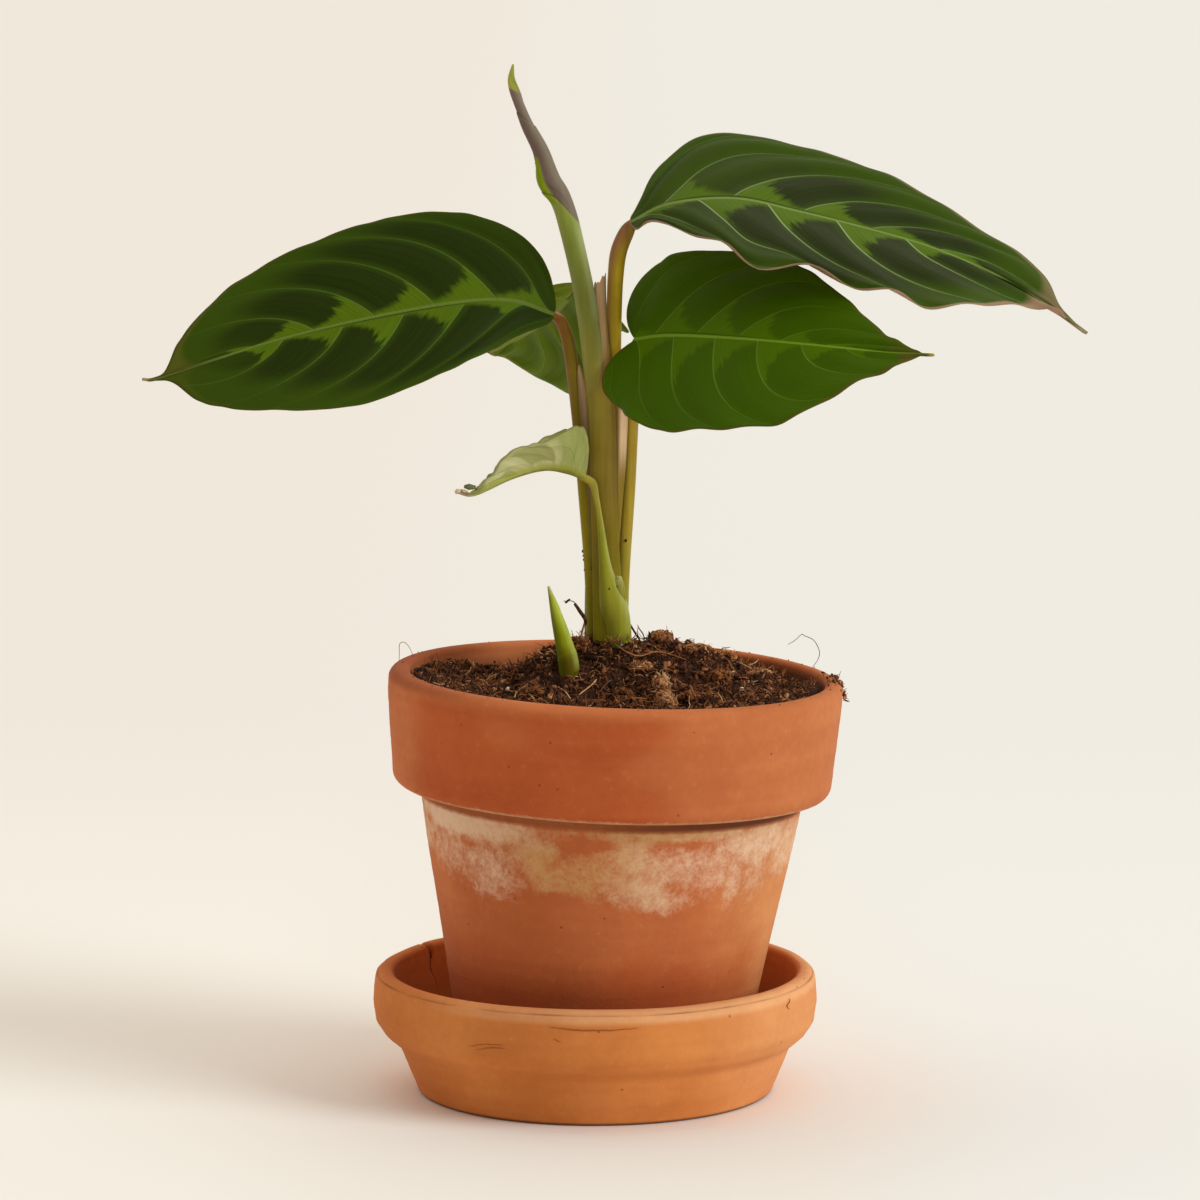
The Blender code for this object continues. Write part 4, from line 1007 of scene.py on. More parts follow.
def make_crumbs():
    """Peat crumbs, grains, coir clumps, roots and hairs over the soil, the rim and the stems."""
    dark = crumb_finish("peat_crumbs", (0.0, (27, 14, 9)), (0.35, (88, 50, 31)), (0.75, (166, 106, 68)),
                        (1.0, (210, 154, 106)))
    pale = crumb_finish("coir_fibres", (0.0, (56, 30, 16)), (0.5, (158, 98, 54)), (0.85, (212, 156, 102)),
                        (1.0, (230, 198, 156)))
    bits, grains, hairs, coir, perlite = Bits(5), Bits(7), Bits(11), Bits(13), Bits(17)
    dice = bits.random
    for _ in range(CRUMB_COUNT * FINE):
        x, y = random_spot(dice)
        size = 0.28 + 1.0 * dice.random() ** 2.4
        centre = soil_top(x, y, size * dice.uniform(-0.2, 0.5))
        sizes = (size * dice.uniform(0.9, 2.0), size * dice.uniform(0.4, 0.9), size * dice.uniform(0.25, 0.7))
        bits.crumb(centre, sizes, patchy(dice, x, y))
    bits.show("soil_crumbs", dark)
    dice = grains.random
    for _ in range(GRAIN_COUNT * FINE):
        x, y = random_spot(dice)
        size = 0.16 + 0.30 * dice.random() ** 2
        centre = soil_top(x, y, dice.uniform(0.1, 0.9))
        grains.crumb(centre, [size * part for part in draws(dice, 0.6, 1.6)], patchy(dice, x, y))
    for place, size, tone in STUCK_BITS:
        grains.crumb(place, size, tone)
    for x, y, rise, size, tone, turn in BARK_CHIPS:
        grains.crumb(soil_top(x, y, rise), size, tone, Euler(turn))
    rim_dirt(grains, coir)
    grains.show("soil_grains", dark)
    dice = hairs.random
    for _ in range(HAIR_COUNT * FINE):
        x, y = random_spot(dice)
        length = 1.2 + 4.8 * dice.random() ** 2
        way = (dice.uniform(-1.0, 1.0), dice.uniform(-1.0, 1.0), dice.uniform(-0.12, 0.30))
        start = soil_top(x, y, dice.uniform(0.1, 0.9))
        hairs.fibre(hairs.curl(start, way, length, 0.55, 5), dice.uniform(0.07, 0.22), patchy(dice, x, y))
    hairs.show("soil_fibres", pale)
    for x, y, size, count, tone in COIR_CLUMPS:
        clump(coir, x, y, size, count * (FINE + 3) // 4, tone)
    for thick, tone, high, places in LONG_FIBRES:
        coir.fibre(along_path([soil_top(x, y, high) for x, y in places], 24), thick, tone, 6, 0.4)
    for thick, tone, places in FREE_HAIRS:
        coir.fibre(along_path([Vector(place) for place in places], 30), thick, tone, 5, 0.3)
    coir.show("soil_coir", pale)
    for x, y in PERLITE:
        perlite.crumb(soil_top(x, y, 0.9), (0.8, 0.7, 0.6), 0.5)
    perlite.show("perlite", crumb_finish("perlite_white", (0.0, (214, 202, 190)), (1.0, (236, 228, 218))))


def edge_waves(values, place):
    """A smooth run of waves that is nought at the base and at the tip."""
    return smooth_at([0.0, *values, 0.0], place)


def leaf_flat(leaf, length, side, place, outward):
    """Distance along the midrib and across it, for a place on the edge and a part of the way out."""
    turn = pi * place
    rib_along = length * place ** 1.5
    edge_along = length * (1.0 - cos(turn)) / 2.0
    edge_along -= leaf["lobe"] * (turn / LOBE_PLACE) * exp(1.0 - turn / LOBE_PLACE)
    swell = sin(min(turn + leaf["fullness"] * sin(turn), pi))
    edge_across = leaf["width"][side] * swell * (1.0 - LEAF_TAPER * place ** 4)
    edge_across += edge_waves(leaf["edge"][side], place)
    to_tip = (length - edge_along) / leaf["tip"]
    edge_across = EDGE_FLOOR + max(edge_across, 0.0) * (1.0 - TIP_NARROWING * ease(to_tip, 2.2, 0.7))
    mid_along = rib_along + 0.15 * (edge_along - rib_along)
    near, middle, far = (1.0 - outward) ** 2, 2.0 * outward * (1.0 - outward), outward ** 2
    along = near * rib_along + middle * mid_along + far * edge_along
    across = (middle * 0.62 + far) * edge_across
    return along, across, edge_across


def vein_number(place, outward):
    """Whole numbers of this lie on the side veins, counted from the base of the midrib."""
    shift = 0.19 * outward + 0.075 * outward ** 4
    begin = (place ** 1.5 - shift) / (1.0 - shift)
    if begin < 0.0:
        begin *= 0.7
    return begin / VEIN_SPACING


def leaf_point(leaf, path, side, place, outward, fine):
    """Point in the middle of the blade, the direction it faces, and numbers for its finish."""
    quilting, curl, ragged = fine
    along, across, edge_across = leaf_flat(leaf, path.length, side, place, outward)
    ahead = path.direction(along)
    part = min(max(along / path.length, 0.0), 1.0)
    up = Vector(leaf["up"][0]).lerp(Vector(leaf["up"][1]), part)
    normal = (up - ahead * up.dot(ahead)).normalized()
    outside = ahead.cross(normal) * (1.0, -1.0)[side]
    first, last = leaf["tilt"][side]
    tilt = radians(first + (last - first) * part)
    vein = vein_number(place, outward) + 0.5 * side
    whole = ease(place, 0.04, 0.2) * ease(place, 0.96, 0.8)
    between = 0.5 - 0.5 * cos(TURN * vein)
    quilt = 2.0 * quilting * (between ** 0.7 - 0.5) * ease(outward, 0.04, 0.3) * ease(outward, 1.0, 0.8)
    lift = quilt * whole
    if side == 0:
        lift += curl * whole * between * max(0.0, (outward - 0.80) / 0.20) ** 2
    nibble = cloud(1.0, place * 26.0, (4.0, 9.0)[side], path.length)
    inset = edge_across - across
    across += (ragged * nibble + 0.3 * curl * between) * whole * outward ** 4
    rise = (across * sin(tilt) + leaf["bow"][side] * (across / leaf["width"][side]) ** 2
            + edge_waves(leaf["wave"][side], place) * outward ** 2 + lift)
    point = path.point(along) + outside * across * cos(tilt) + normal * rise
    facing = normal if outward == 0.0 else normal * cos(tilt) - outside * sin(tilt)
    return point, facing, (vein, across, inset, path.length - along)


# Numbers kept at each point of a blade: its place between the side veins, with 20 more on the left
# half, its place from the midrib out and from the base to the tip, and its distances from the midrib,
# the edge and the tip.
BLADE_VALUES = ("vein", "out", "leaf_place", "rib_mm", "edge_mm", "tip_mm")


def closed_sheet(rows, columns):
    """Faces of a sheet whose front points come before its back points, closed all round."""
    count = rows * columns
    faces = []
    for a in (i * columns + j for i in range(rows - 1) for j in range(columns - 1)):
        b, c, d = a + 1, a + 1 + columns, a + columns
        faces += [(a, b, c, d), (d + count, c + count, b + count, a + count)]
    rim = list(range(columns)) + [i * columns - 1 for i in range(2, rows + 1)]
    rim += [(rows - 1) * columns + j for j in range(columns - 2, -1, -1)]
    rim += [i * columns for i in range(rows - 2, 0, -1)]
    faces += [(after, here, here + count, after + count) for here, after in zip(rim, rim[1:] + rim[:1])]
    return faces


def make_blade(name, leaf, finish):
    """A blade: a waved and quilted sheet, thin at its margin, with a round keel below."""
    path = Path(leaf["rib"])
    grid = SMALL_BLADE_GRID if name in ("young_leaf", "leaf_back") else BLADE_GRID
    rows, half = [part * FINE for part in grid]
    columns = 2 * half + 1
    upper, lower = [], []
    values = {key: [] for key in BLADE_VALUES}
    for i in range(rows + 1):
        place = i / rows
        for j in range(columns):
            outward = abs(j - half) / half
            side = 0 if j >= half else 1
            point, facing, (vein, across, inset, to_tip) = leaf_point(leaf, path, side, place, outward,
                                                                      FINE_FORM[name])
            thick = MARGIN_THICKNESS + (BLADE_THICKNESS - MARGIN_THICKNESS) * (1.0 - outward) ** 2
            keel = KEEL_DEPTH * (1.0 - place) * exp(-(across / KEEL_WIDTH) ** 2)
            groove = GROOVE_DEPTH * (1.0 - place) * exp(-(across / GROOVE_WIDTH) ** 2)
            upper.append(point + facing * (thick / 2 - groove))
            lower.append(point - facing * (thick / 2 + keel))
            numbers = (vein + 20.0 * side, outward, place, across, inset, to_tip)
            for key, number in zip(BLADE_VALUES, numbers):
                values[key].append(number)
    count = len(upper)
    values = {key: numbers * 2 for key, numbers in values.items()}
    values["under"] = [0.0] * count + [1.0] * count
    piece(name + "_fine", upper + lower, closed_sheet(rows + 1, columns), finish, (name + "_blade",),
          leaf["slot"], values)


def vein_lines(vein, out, width):
    """The part between side veins, how near a vein is, and a thin line on each vein."""
    cell = vein.fraction()
    near = cell.least(1.0 - cell)
    return cell, near, near.step(out.scaled(width, width), width * 0.2)


def leaf_finish(name, colours, gloss, vein_strength):
    """A patterned leaf: light comb-edged patches by the midrib, dark lobes and pale veins."""
    made = Finish(name, 0.5, gloss, LEAF_SHEEN)
    vein, out, place, rib, inset, to_tip, below = made.given(*BLADE_VALUES, "under")
    side = vein.step(9.0, 11.0)
    number = side.scaled(-20.0, vein)

    def by_side(right, left):
        return side.scaled(made.maths("SUBTRACT", left, right), right)

    cell, near, line = vein_lines(vein, out, 0.022)
    luck = made.noise((vein.whole() * 3.7, 0.5, 0.5), 1.0, 0.0)
    teeth = made.noise((vein * 8.0, out * 3.5, 0.0), 1.0, 4.0, 0.62)
    rough = made.noise((vein * 40.0, out * 12.0, 3.0), 1.0, 2.0)
    streak = made.noise((vein * 22.0, out, 0.0), 1.0, 3.0, 0.6)
    reach = (1.0 - cell) ** 1.7 * luck.scaled(0.40, colours["reach"]) * teeth.scaled(1.9, -0.05)
    reach = (reach + 0.034) * place.step(1.0, 0.72, 0.5) + rough.scaled(0.05, -0.025)
    band = (reach - out).step(-0.040, 0.030) * number.step(-0.9, 0.1)
    limit = by_side(*[place.step(0.30, 0.9, *ends) for ends in colours["limit"]]) + (cell * pi).sine() * 0.14
    lobe = (limit - out).step(-0.20, 0.14) * place.step(0.92, 0.74)
    lobe *= by_side(*[number.step(bare, bare + 1.0, 0.30) for bare in colours["bare"]])
    shade = lobe * near.step(0.0, 0.20, 0.42) * streak.step(0.2, 0.8, 0.80)
    made.colour = made.mix(shade, colours["middle"], colours["dark"])
    light = made.mix(streak.step(0.3, 0.7), colours["light"], colours["middle"])
    made.coat(band, made.mix(0.35, colours["light"], light))
    pale = line * out.step(1.0, 0.1, 0.25 * vein_strength, vein_strength)
    made.coat(pale * by_side(1.0, colours["far_veins"]), colours["vein"])
    spine = (rib / place.step(1.0, 0.0, 0.45, 0.80)).step(1.05, 0.45)
    made.coat(spine * 0.85, colours["rib"])
    back = made.mix(line * 0.8, (168, 128, 100), (190, 160, 124))
    made.coat(below * place.step(0.93, 0.86), made.mix(spine, back, (170, 160, 90)))
    made.coat(inset.step(0.45, 0.15) * by_side(0.75, 0.35), colours["margin"])
    made.coat(to_tip.step(colours["tip_mm"], 0.3 * colours["tip_mm"]), colours["tip"])
    return made.done(streak * 0.8 + line * -0.9, 0.45, 0.0005)


def under_leaf_finish(name):
    """The back leaf, seen from below: even yellow green with raised paler veins, and painted light on its
    base and on its left half.
    """
    made = Finish(name, 0.5, 0.03, LEAF_SHEEN)
    vein, out, place, rib, inset, to_tip = made.given(*BLADE_VALUES)
    _, near, line = vein_lines(vein, out, 0.022)
    streak = made.noise((vein * 16.0, out, 0.0), 1.0, 2.0)
    made.colour = made.mix(near.step(0.02, 0.42), (90, 115, 6), (74, 97, 2))
    # Painted light: the base is brightened.
    made.coat(place.step(0.34, 0.10, 0.0, 0.75), (110, 136, 26))
    made.coat(streak.step(0.3, 0.7, 0.0, 0.3), (100, 122, 10))
    # Painted light: the left half, which is tilted towards the light, is brightened.
    made.coat(vein.step(9.0, 11.0, 0.0, 0.9), (124, 146, 34))
    made.coat(line * 0.4, (132, 152, 50))
    made.coat(rib.step(1.1, 0.5) * 0.8, (136, 152, 66))
    made.coat(inset.step(0.3, 0.1) * 0.5, (120, 130, 50))
    made.coat(to_tip.step(2.5, 1.0), (140, 120, 60))
    return made.done(streak * 0.6 + line, 0.35, 0.0005)


def young_leaf_finish(name):
    """The young folded leaf: pale, with darker square panels between the veins."""
    made = Finish(name, 0.5, 0.16)
    vein, out, place, rib, inset, to_tip = made.given(*BLADE_VALUES)
    _, _, line = vein_lines(vein, out, 0.030)
    streak = made.noise((vein * 12.0, out, 0.0), 1.0)
    stripe = made.noise((place * 34.0, out, 1.0), 1.0, 2.0)
    panel = place.step(0.375, 0.395) * place.step(0.545, 0.530) * (out.step(0.18, 0.30) * out.step(1.0, 0.85))
    small = place.step(0.625, 0.640) * place.step(0.700, 0.675) * (out.step(0.15, 0.25) * out.step(0.65, 0.5))
    made.colour = made.mix(place.step(0.30, 0.42), (186, 194, 114), (220, 216, 158))
    made.coat(stripe.step(0.35, 0.65, 0.0, 0.35), (150, 160, 84))
    made.coat(panel.most(small) * 0.75, (160, 160, 90))
    made.coat(out.step(0.80, 1.0, 0.0, 0.3), (160, 166, 92))
    made.coat(rib.step(2.4, 0.8) * 0.75, (170, 172, 58))
    made.coat(inset.step(0.35, 0.1) * 0.6, (120, 122, 70))
    made.coat(to_tip.step(4.5, 2.5), (176, 146, 112))
    return made.done(streak * 0.8 + line * 0.8, 0.4, 0.0005)


def tube(name, points, radii, finish, sides, rings, replaces, slot, shape=None, flat=1.0):
    """A solid stalk along a smooth path; shape scales the radius by place and angle."""
    centres = along_path([Vector(p) for p in points], rings)
    verts, values = [], {"level": [], "around": []}
    for i, (across, up) in enumerate(ring_frames(centres, Vector((1.0, 0.0, 0.0)))):
        radius = smooth_at(radii, i / rings)
        for k in range(sides):
            angle = TURN * k / sides
            scale = shape(i / rings, angle) if shape else 1.0
            spoke = across * cos(angle) + up * sin(angle) * flat
            verts.append(centres[i] + spoke * radius * scale)
            values["level"].append(centres[i].z)
            values["around"].append(cos(angle))
    piece(name, verts, tube_faces(0, rings, sides), finish, replaces, slot, values)


def stalk_finish(name, low, high, stops, sides=()):
    """A fleshy stalk: its colour runs up its length, with fine streaks and tinted sides, some of which are
    painted highlights.

    Each side is (from, to, low, high, strength, colour): across the stalk from -1 at the left to 1
    at the right, and between two levels.
    """
    made = Finish(name, 0.45, 0.13, (1.0, 0.94, 0.66))
    where = made.place()
    level, around = made.given("level", "around")
    streak = made.grain(where, 900.0, 28.0, 3.0)
    made.colour = made.ramp(level.step(low, high, kind="LINEAR"), *stops)
    for start, end, bottom, top, strength, tint in sides:
        made.coat(around.step(start, end) * level.step(bottom, top, 0.0, strength), tint)
    broad = made.grain(where, 460.0, 12.0, 2.0)
    made.coat(broad.step(0.42, 0.66, 0.0, 0.6), [1.3, 1.3, 1.5])
    wash = streak * 0.5 + made.noise(where, 160.0) * 0.5
    made.coat(wash.step(0.35, 0.7, 0.0, 0.35), [0.55, 0.5, 0.4])
    return made.done(streak, 0.25, 0.0003)


def make_stalk(name, stalk, finish, slot):
    """A stalk that bends into its blade and joins it."""
    leaf = LEAVES[stalk["leaf"]]
    path = Path(leaf["rib"])
    ahead = path.direction(0.0)
    up = Vector(leaf["up"][0])
    normal = (up - ahead * up.dot(ahead)).normalized()
    along, under, short = stalk["approach"]
    inward = (ahead * along + normal * under).normalized()
    points = [Vector(p) for p in stalk["points"]]
    points += [path.point(0.0) - inward * (short + STALK_BEND), path.point(0.6) - normal * 0.5]
    tube(name + "_fine", points, stalk["radii"], finish, STALK_SIDES * FINE, STALK_RINGS * FINE,
         (name,), slot, flat=stalk.get("flat", 1.0))


# The rolled leaf's laps: where each turn of the scroll ends, as a height on the axis and how far it
# drops from the left side to the right, and how much wider the lap below it is.
ROLL_LAPS = ((280.2, 2.6, 0.10), (255.5, 5.9, 0.09))
HOOK_Z = 288.6
FLAP_Z = 263.5


def lap_part(level, around, softness):
    """How far a place lies below each lap's end, from 0 to 1."""
    return [ease(height - drop * around - level, -softness, softness) for height, drop, _ in ROLL_LAPS]


def roll_shape(place, angle):
    """Outline of the rolled leaf: round at the stalk, a lapped scroll above it, and a side flap."""
    begin = ROLL_START / (len(ROLLED_POINTS) - 1)
    grown = min(max((place - begin) * 6.0, 0.0), 1.0)
    turned_part = (angle / TURN + ROLL_TURN * (place - begin)) % 1.0
    level = smooth_at([point[2] for point in ROLLED_POINTS], place)
    around = cos(angle)
    scale = 1.0 - ROLL_STEP * grown * (0.32 + 0.36 * turned_part)
    for part, (_, _, wider) in zip(lap_part(level, around, 0.25), ROLL_LAPS):
        scale += wider * (part - 1.0) * ease(level, 250.0, 258.0)
    scale += 0.42 * exp(-((level - FLAP_Z) / 5.0) ** 2) * ease(-around, 0.45, 0.95)
    return scale


def rolled_finish():
    """Green below, chalky purple above, with a green flap, a green hook and dark lines of painted shadow
    under the lap edges.
    """
    made = Finish("rolled_leaf_skin", 0.5, 0.12)
    where = made.place()
    level, around = made.given("level", "around")
    streak = made.grain(where, 900.0, 60.0, 3.0)
    part = (level - 125.0) / 130.0
    fresh = made.ramp(part, (0.0, (128, 126, 44)), (0.44, (152, 134, 48)), (0.64, (140, 132, 52)),
                      (0.8, (118, 124, 48)), (0.91, (126, 136, 54)), (1.0, (138, 150, 62)))
    sides = abs(around).step(0.25, 0.95, 0.0, 0.45)
    fresh = made.mix(sides * level.step(200.0, 215.0), fresh, (164, 172, 104))
    # Painted highlight: a pale streak down the right side of the tube, towards the key light.
    right_highlight = around.step(0.1, 0.9, 0.0, 0.4) * level.step(220.0, 226.0)
    fresh = made.mix(right_highlight * level.step(252.0, 246.0), fresh, (180, 184, 130))
    chalk = made.mix(around.step(-0.7, 0.9), (114, 95, 83), (126, 112, 94))
    made.colour = made.mix(level.step(278.0, 288.0, 0.0, 0.6), chalk, (134, 110, 104))
    laps = [around.scaled(-drop, height) - level for height, drop, _ in ROLL_LAPS]
    made.coat(laps[1].step(-0.3, 0.3), fresh)
    flap = around.step(-0.50, -0.70) * level.step(256.0, 257.5)
    made.coat(flap * level.step(271.0, 269.0), (132, 150, 14))
    # Painted shadow: a dark line under each lap's edge, mostly on the left.
    for lap in laps:
        edge = abs(lap + 0.35).step(0.5, 0.1)
        made.coat(edge * around.step(0.75, 0.2, 0.0, 0.75), (84, 84, 40))
    hook = made.mix(around.step(-0.4, 0.8), (172, 170, 76), (138, 142, 54))
    made.coat((level - around.scaled(-1.2, HOOK_Z)).step(-0.3, 0.3), hook)
    made.coat(streak.step(0.3, 0.75, 0.0, 0.25), [0.6, 0.55, 0.5])
    return made.done(streak, 0.25, 0.0003)


# Thin sheaths that wrap the stalks: rows of height, left, right, depth of the edges and bulge, from
# the foot up, how far the top slants and how ragged it is, and the levels between which the colour
# runs, its stops and its tinted sides.
SHEATHS = {
    "sheath_middle": {
        "rows": [(124, -0.6, 8.4, 10.6, 1.6), (146, -0.8, 7.6, 10.4, 1.4), (168, -1.2, 6.4, 10.2, 1.2),
                 (186, -1.6, 6.2, 10.2, 1), (198, -1.8, 5.8, 10.6, 0.8), (206, -1.6, 5.2, 11.6, 0.6),
                 (213, -0.9, 4.3, 13, 0.4), (224, -0.2, 3.4, 14.6, 0.3), (234, -0.3, 3.1, 14.8, 0.2)],
        "slant": 2.6, "ragged": 1.6, "low": 124, "high": 234,
        "stops": ((0, (150, 146, 32)), (0.3, (132, 114, 24)), (0.52, (144, 125, 42)),
                  (0.68, (152, 138, 50)), (0.76, (140, 116, 60)), (0.87, (206, 168, 124)),
                  (1, (210, 172, 132))),
        "sides": ((0.05, 0.40, 158, 176, 0.30, (156, 128, 62)),
                  (0.50, 0.80, 158, 176, 0.70, (126, 104, 36)),
                  (-0.1, -0.9, 130, 160, 0.15, (104, 90, 30)),
                  (0.8, 1, 205, 212, 0.6, (120, 92, 50)),
                  (-0.4, -0.95, 206, 214, 0.7, (104, 88, 44)))},
    "sheath_right": {
        "rows": [(146, 5, 6.4, 12, 0.2), (158, 4.8, 7, 11.6, 0.4), (168, 4.9, 7.8, 11.4, 0.4),
                 (180, 5, 8.8, 11.2, 0.5), (190, 5, 9.3, 11.2, 0.5), (199, 5, 9.6, 11.6, 0.4)],
        "slant": 0, "ragged": 0.3, "low": 146, "high": 199,
        # The bright pale top is partly the sheath's membranous edge, partly a painted highlight.
        "stops": ((0, (132, 116, 30)), (0.35, (142, 116, 48)), (0.55, (180, 150, 90)),
                  (0.8, (246, 216, 168)), (1, (242, 208, 162))),
        "sides": ((0.25, -0.35, 140, 150, 0.95, (138, 114, 52)),
                  (0.7, 1, 140, 150, 0.5, (160, 128, 70)),
                  (-0.2, 0.3, 185, 175, 0.9, (150, 126, 42)))},
    "sheath_left": {
        "rows": [(150, -1.4, 0.6, 12.8, 0.2), (178, -2.7, 0.4, 12.7, 0.4), (188, -3.8, -0.2, 12.7, 0.5),
                 (196, -4.5, -0.9, 12.7, 0.5), (203, -5, -1.9, 12.8, 0.5), (207, -5.2, -3.2, 13, 0.4),
                 (209.6, -5, -4.4, 13.2, 0.1)],
        "slant": 0, "ragged": 0.2, "low": 160, "high": 209.6,
        "stops": ((0, (132, 120, 44)), (0.4, (134, 112, 68)), (0.8, (168, 138, 108)),
                  (1, (180, 146, 114))),
        "sides": ((-0.2, -0.9, 160, 170, 0.6, (112, 84, 36)),
                  (-0.2, 0.7, 160, 170, 0.85, (134, 126, 56)))},
    "sheath_lip": {
        "rows": [(139, 6.4, 8.8, 6.6, 0.1), (143, 5.8, 8.8, 6.3, 0.4), (146, 5.2, 8.5, 6.4, 0.5),
                 (148.8, 5.4, 7.6, 7, 0.4)],
        "slant": 0.5, "ragged": 0.5, "low": 139, "high": 148.8,
        "stops": ((0, (146, 146, 50)), (0.7, (154, 150, 62)), (1, (172, 166, 96))),
        "sides": ()},
}
SHEATH_THICKNESS = 0.3


def make_sheath(name, sheath):
    """A thin bulging strip in front of the stalks, closed all round, with a ragged top."""
    rows = [Vector(row) for row in sheath["rows"]]
    steps, columns = SHEATH_ROWS * FINE, SHEATH_COLUMNS * FINE + 1
    front, back, level, around = [], [], [], []
    for i in range(steps + 1):
        place = i / steps
        height, left, right, depth, bulge = smooth_at(rows, place)
        for j in range(columns):
            part = j / (columns - 1)
            torn = sheath["ragged"] * place ** 12 * cloud(1.0, part * 6.0, height * 0.02, left)
            torn += sheath["slant"] * (part - 0.5) * place ** 6
            x, y, z = left + (right - left) * part, depth - bulge * sin(pi * part), height + torn
            front.append((x, y, z))
            back.append((x, y + SHEATH_THICKNESS, z))
            level.append(height)
            around.append(2.0 * part - 1.0)
    finish = stalk_finish(name, sheath["low"], sheath["high"], sheath["stops"], sheath["sides"])
    piece(name, front + back, closed_sheet(steps + 1, columns), finish, (), "stalk",
          {"level": level * 2, "around": around * 2})


# Each stalk's finish: its name, the levels between which its colour runs, the stops, and the sides.
STALK_LOOKS = {
    "leaf_left_petiole": (
        "stalk_left", 125, 224,
        ((0, (132, 134, 36)), (0.3, (154, 138, 20)), (0.75, (124, 108, 24)), (0.9, (122, 100, 24)),
         (0.96, (126, 86, 26)), (1, (124, 82, 34))),
        # The pale pink right side of this stalk is a painted highlight.
        ((0, -0.9, 165, 195, 0.6, (128, 84, 40)), (0.75, 1, 180, 200, 0.5, (206, 168, 140)))),
    "leaf_upper_right_petiole": (
        "stalk_upper", 125, 250,
        ((0, (150, 140, 36)), (0.5, (174, 152, 34)), (0.9, (184, 158, 34)), (1, (160, 124, 50))),
        ((0.2, -0.7, 190, 236, 0.75, (150, 104, 66)), (0.7, -0.3, 236, 246, 0.6, (140, 96, 66)))),
    "leaf_lower_right_petiole": (
        "stalk_lower", 125, 216, ((0, (150, 144, 46)), (0.5, (170, 146, 44)), (1, (184, 156, 60))),
        ((0.2, -0.8, 150, 175, 0.2, (150, 116, 56)), (0.5, 1, 140, 150, 0.3, (150, 120, 50)))),
    "leaf_back_petiole": ("stalk_back", 125, 230, ((0, (110, 108, 34)), (1, (132, 114, 48)))),
    "side_shoot": (
        "shoot_side", 124, 176,
        ((0, (104, 138, 14)), (0.22, (158, 156, 46)), (0.6, (150, 149, 38)), (1, (174, 158, 56))),
        # The pale right side at the shoot's foot is a painted highlight.
        ((-0.2, -0.95, 124, 126, 0.5, (110, 116, 30)), (0.3, 0.95, 128, 140, 0.5, (176, 180, 104)))),
    "spear_shoot": (
        "spear_skin", 118, 147,
        ((0, (88, 70, 4)), (0.26, (98, 86, 8)), (0.5, (146, 152, 14)), (0.9, (178, 184, 56)),
         (1, (206, 196, 140))),
        ((0, -0.9, 118, 120, 0.75, (96, 112, 14)), (0.3, 0.95, 122, 126, 0.45, (188, 204, 96)))),
}


def make_stalks():
    """Every stalk and shoot in its own colours from the soil up."""
    for name, stalk in STALKS.items():
        slot = "shoot" if name == "side_shoot" else "stalk"
        make_stalk(name, stalk, stalk_finish(*STALK_LOOKS[name]), slot)
    tube("rolled_leaf_fine", ROLLED_POINTS, ROLLED_RADII, rolled_finish(), ROLLED_SIDES * FINE,
         ROLLED_RINGS * FINE, ("rolled_leaf",), "rolled", roll_shape)
    tube("spear_shoot_fine", SPEAR_POINTS, SPEAR_RADII, stalk_finish(*STALK_LOOKS["spear_shoot"]),
         STALK_SIDES * FINE, SPEAR_RINGS * FINE, ("spear_shoot",), "shoot", spear_shape)
    for name, sheath in SHEATHS.items():
        make_sheath(name, sheath)


def spear_shape(place, angle):
    """Outline of the spear: an outer leaf ends in a ring, and its own seam winds up from there."""
    ring = 0.40 + 0.025 * cos(angle + 0.6)
    seam = (angle / TURN + 1.2 * place) % 1.0
    return 1.0 + 0.07 * ease(place, ring + 0.012, ring - 0.012) - 0.10 * seam * ease(place, ring, ring + 0.1)


# The patterned leaves: colours, how far the light patches reach from the midrib and the dark lobes
# from it, where the first lobes begin, and how strong the veins are on the far half.
LEAF_LOOKS = {
    "deep": {"dark": (32, 43, 6), "middle": (54, 74, 8), "light": (84, 108, 12), "vein": (96, 118, 50),
             "rib": (104, 122, 50), "margin": (90, 88, 28), "tip": (178, 150, 112), "tip_mm": 2.2,
             "reach": 0.09, "bare": (-0.6, -0.4), "limit": ((0.84, 0.48), (0.78, 0.44)), "far_veins": 1},
    # The silky leaf's whitish vein colour is partly its pale veins, partly a painted highlight on the raised
    # veins, full on the right half and weaker on the left.
    "silky": {"dark": (37, 44, 14), "middle": (57, 79, 6), "light": (86, 114, 16), "vein": (158, 176, 126),
              "rib": (128, 150, 76), "margin": (176, 138, 112), "tip": (146, 128, 98), "tip_mm": 2.8,
              "reach": 0.12, "bare": (0.3, 1.3), "limit": ((0.86, 0.56), (0.60, 0.42)), "far_veins": 0.55},
    "fresh": {"dark": (60, 90, 0), "middle": (64, 95, 0), "light": (78, 112, 0), "vein": (110, 144, 50),
              "rib": (124, 158, 48), "margin": (96, 82, 34), "tip": (176, 160, 60), "tip_mm": 2.4,
              "reach": 0.20, "bare": (0, 0.6), "limit": ((0.80, 0.48), (0.62, 0.40)), "far_veins": 0.9},
}


# The young leaf's withered tip: place, sizes, tone and turn of each bit.
WITHERED_BITS = [
    ((-36.2, 0.2, 175.8), (2.2, 0.7, 0.9), 0, 0.1), ((-39.3, 0, 174.5), (1.3, 0.8, 0.9), 1, -0.4),
    ((-37.6, 0.2, 174.6), (1.4, 0.7, 0.6), 0.8, 0.2)]


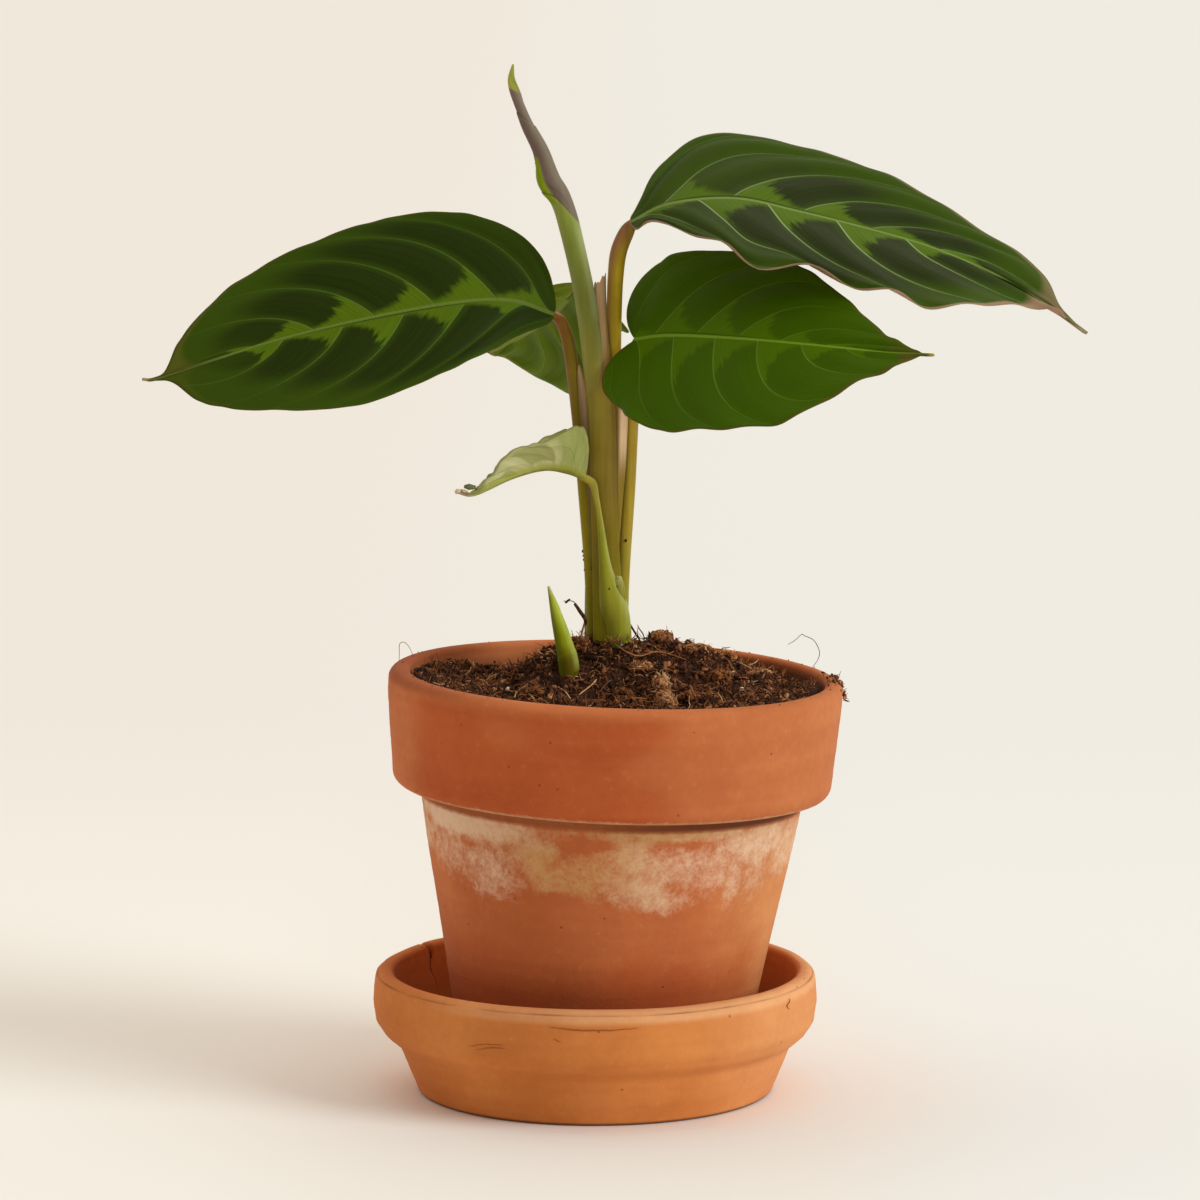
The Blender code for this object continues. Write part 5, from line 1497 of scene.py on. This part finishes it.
def make_leaves():
    """Every blade with its own finish, and the young leaf's withered tip."""
    finishes = {"leaf_left": leaf_finish("leaf_deep", LEAF_LOOKS["deep"], 0.07, 0.60),
                "leaf_upper_right": leaf_finish("leaf_silky", LEAF_LOOKS["silky"], 0.13, 0.85),
                "leaf_lower_right": leaf_finish("leaf_fresh", LEAF_LOOKS["fresh"], 0.03, 0.60),
                "leaf_back": under_leaf_finish("leaf_under"),
                "young_leaf": young_leaf_finish("leaf_young")}
    for name, leaf in LEAVES.items():
        make_blade(name, leaf, finishes[name])
    dead = Bits(19)
    for centre, size, tone, turn in WITHERED_BITS:
        dead.crumb(centre, size, tone, Euler((0.0, turn, 0.0)))
    withered = crumb_finish("withered_tip", (0.0, (110, 116, 66)), (0.5, (170, 160, 108)),
                            (1.0, (222, 196, 160)))
    dead.show("young_leaf_tip", withered, "blade_pale")


def make_floor():
    """A wide pale floor with painted light: lighter near the object than far behind it, lighter still at the
    left, where it lifts the key light's cast shadow, and a little cooler at the right.
    """
    floor = Finish("floor_paper", 0.9, 0.1)
    where = floor.place()
    x, y = floor.coordinate(where, "X"), floor.coordinate(where, "Y")
    near = floor.mix(floor.noise(where, 1.2, 2.0), (246, 243, 238), (248, 246, 241))
    near = floor.mix(x.step(-0.12, -0.04), (251, 249, 244), near)
    near = floor.mix(x.step(0.04, 0.13), near, (246, 248, 248))
    away = floor.mix(x.step(-0.15, 0.10), (242, 238, 234), (241, 242, 240))
    floor.colour = floor.mix(y.step(0.0, 0.7), near, away)
    mesh = bpy.data.meshes.new("floor")
    corners = ((-1, -1), (1, -1), (1, 1), (-1, 1))
    mesh.from_pydata([(FLOOR_REACH * a, FLOOR_REACH * b, 0.0) for a, b in corners], [], [(0, 1, 2, 3)])
    mesh.materials.append(floor.done())
    ground = bpy.data.objects.new("floor", mesh)
    bpy.context.scene.collection.objects.link(ground)


def make_light():
    """An even pale surround, weaker from the front, and a soft key light from the right."""
    world = bpy.data.worlds.new("surround")
    world.use_nodes = True
    sky = Nodes(world.node_tree)
    way = sky.place("Generated")
    strength = (sky.coordinate(way, "Y").step(-0.9, 0.5, 0.30, 0.80)
                * sky.coordinate(way, "Z").step(0.0, 0.9, 1.0, 1.35))
    backdrop = sky.nodes["Background"]
    sky.feed(backdrop.inputs["Color"], SURROUND_COLOUR)
    sky.feed(backdrop.inputs["Strength"], strength)
    bpy.context.scene.world = world
    key = bpy.data.lights.new("key", "SUN")
    key.energy = KEY_STRENGTH
    key.angle = KEY_WIDTH
    key.color = KEY_COLOUR
    lamp = bpy.data.objects.new("key", key)
    lamp.rotation_euler = Vector(KEY_WAY).to_track_quat("Z", "Y").to_euler()
    bpy.context.scene.collection.objects.link(lamp)


def make_camera():
    """The photograph's view."""
    data = bpy.data.cameras.new("camera")
    data.sensor_width = 36.0
    data.lens = CAMERA_LENS
    data.clip_end = 60.0
    camera = bpy.data.objects.new("camera", data)
    back = Vector((0.0, -cos(CAMERA_PITCH), sin(CAMERA_PITCH))) * CAMERA_DISTANCE
    camera.location = (Vector(CAMERA_TARGET) + back) * MM
    camera.rotation_euler = (pi / 2 - CAMERA_PITCH, 0.0, 0.0)
    bpy.context.scene.collection.objects.link(camera)
    bpy.context.scene.camera = camera


def main():
    bpy.context.scene.view_settings.view_transform = "Standard"
    make_camera()
    make_floor()
    make_light()
    make_saucer(clay("terracotta_saucer", (222, 140, 72), (196, 112, 51), (96, 46, 26), [1.13, 1.54, 2.75]))
    make_pot(clay("terracotta_pot", (208, 122, 70), (181, 95, 51), (84, 42, 26), [1.08, 1.40, 1.50]))
    make_soil()
    make_crumbs()
    make_leaves()
    make_stalks()


main()
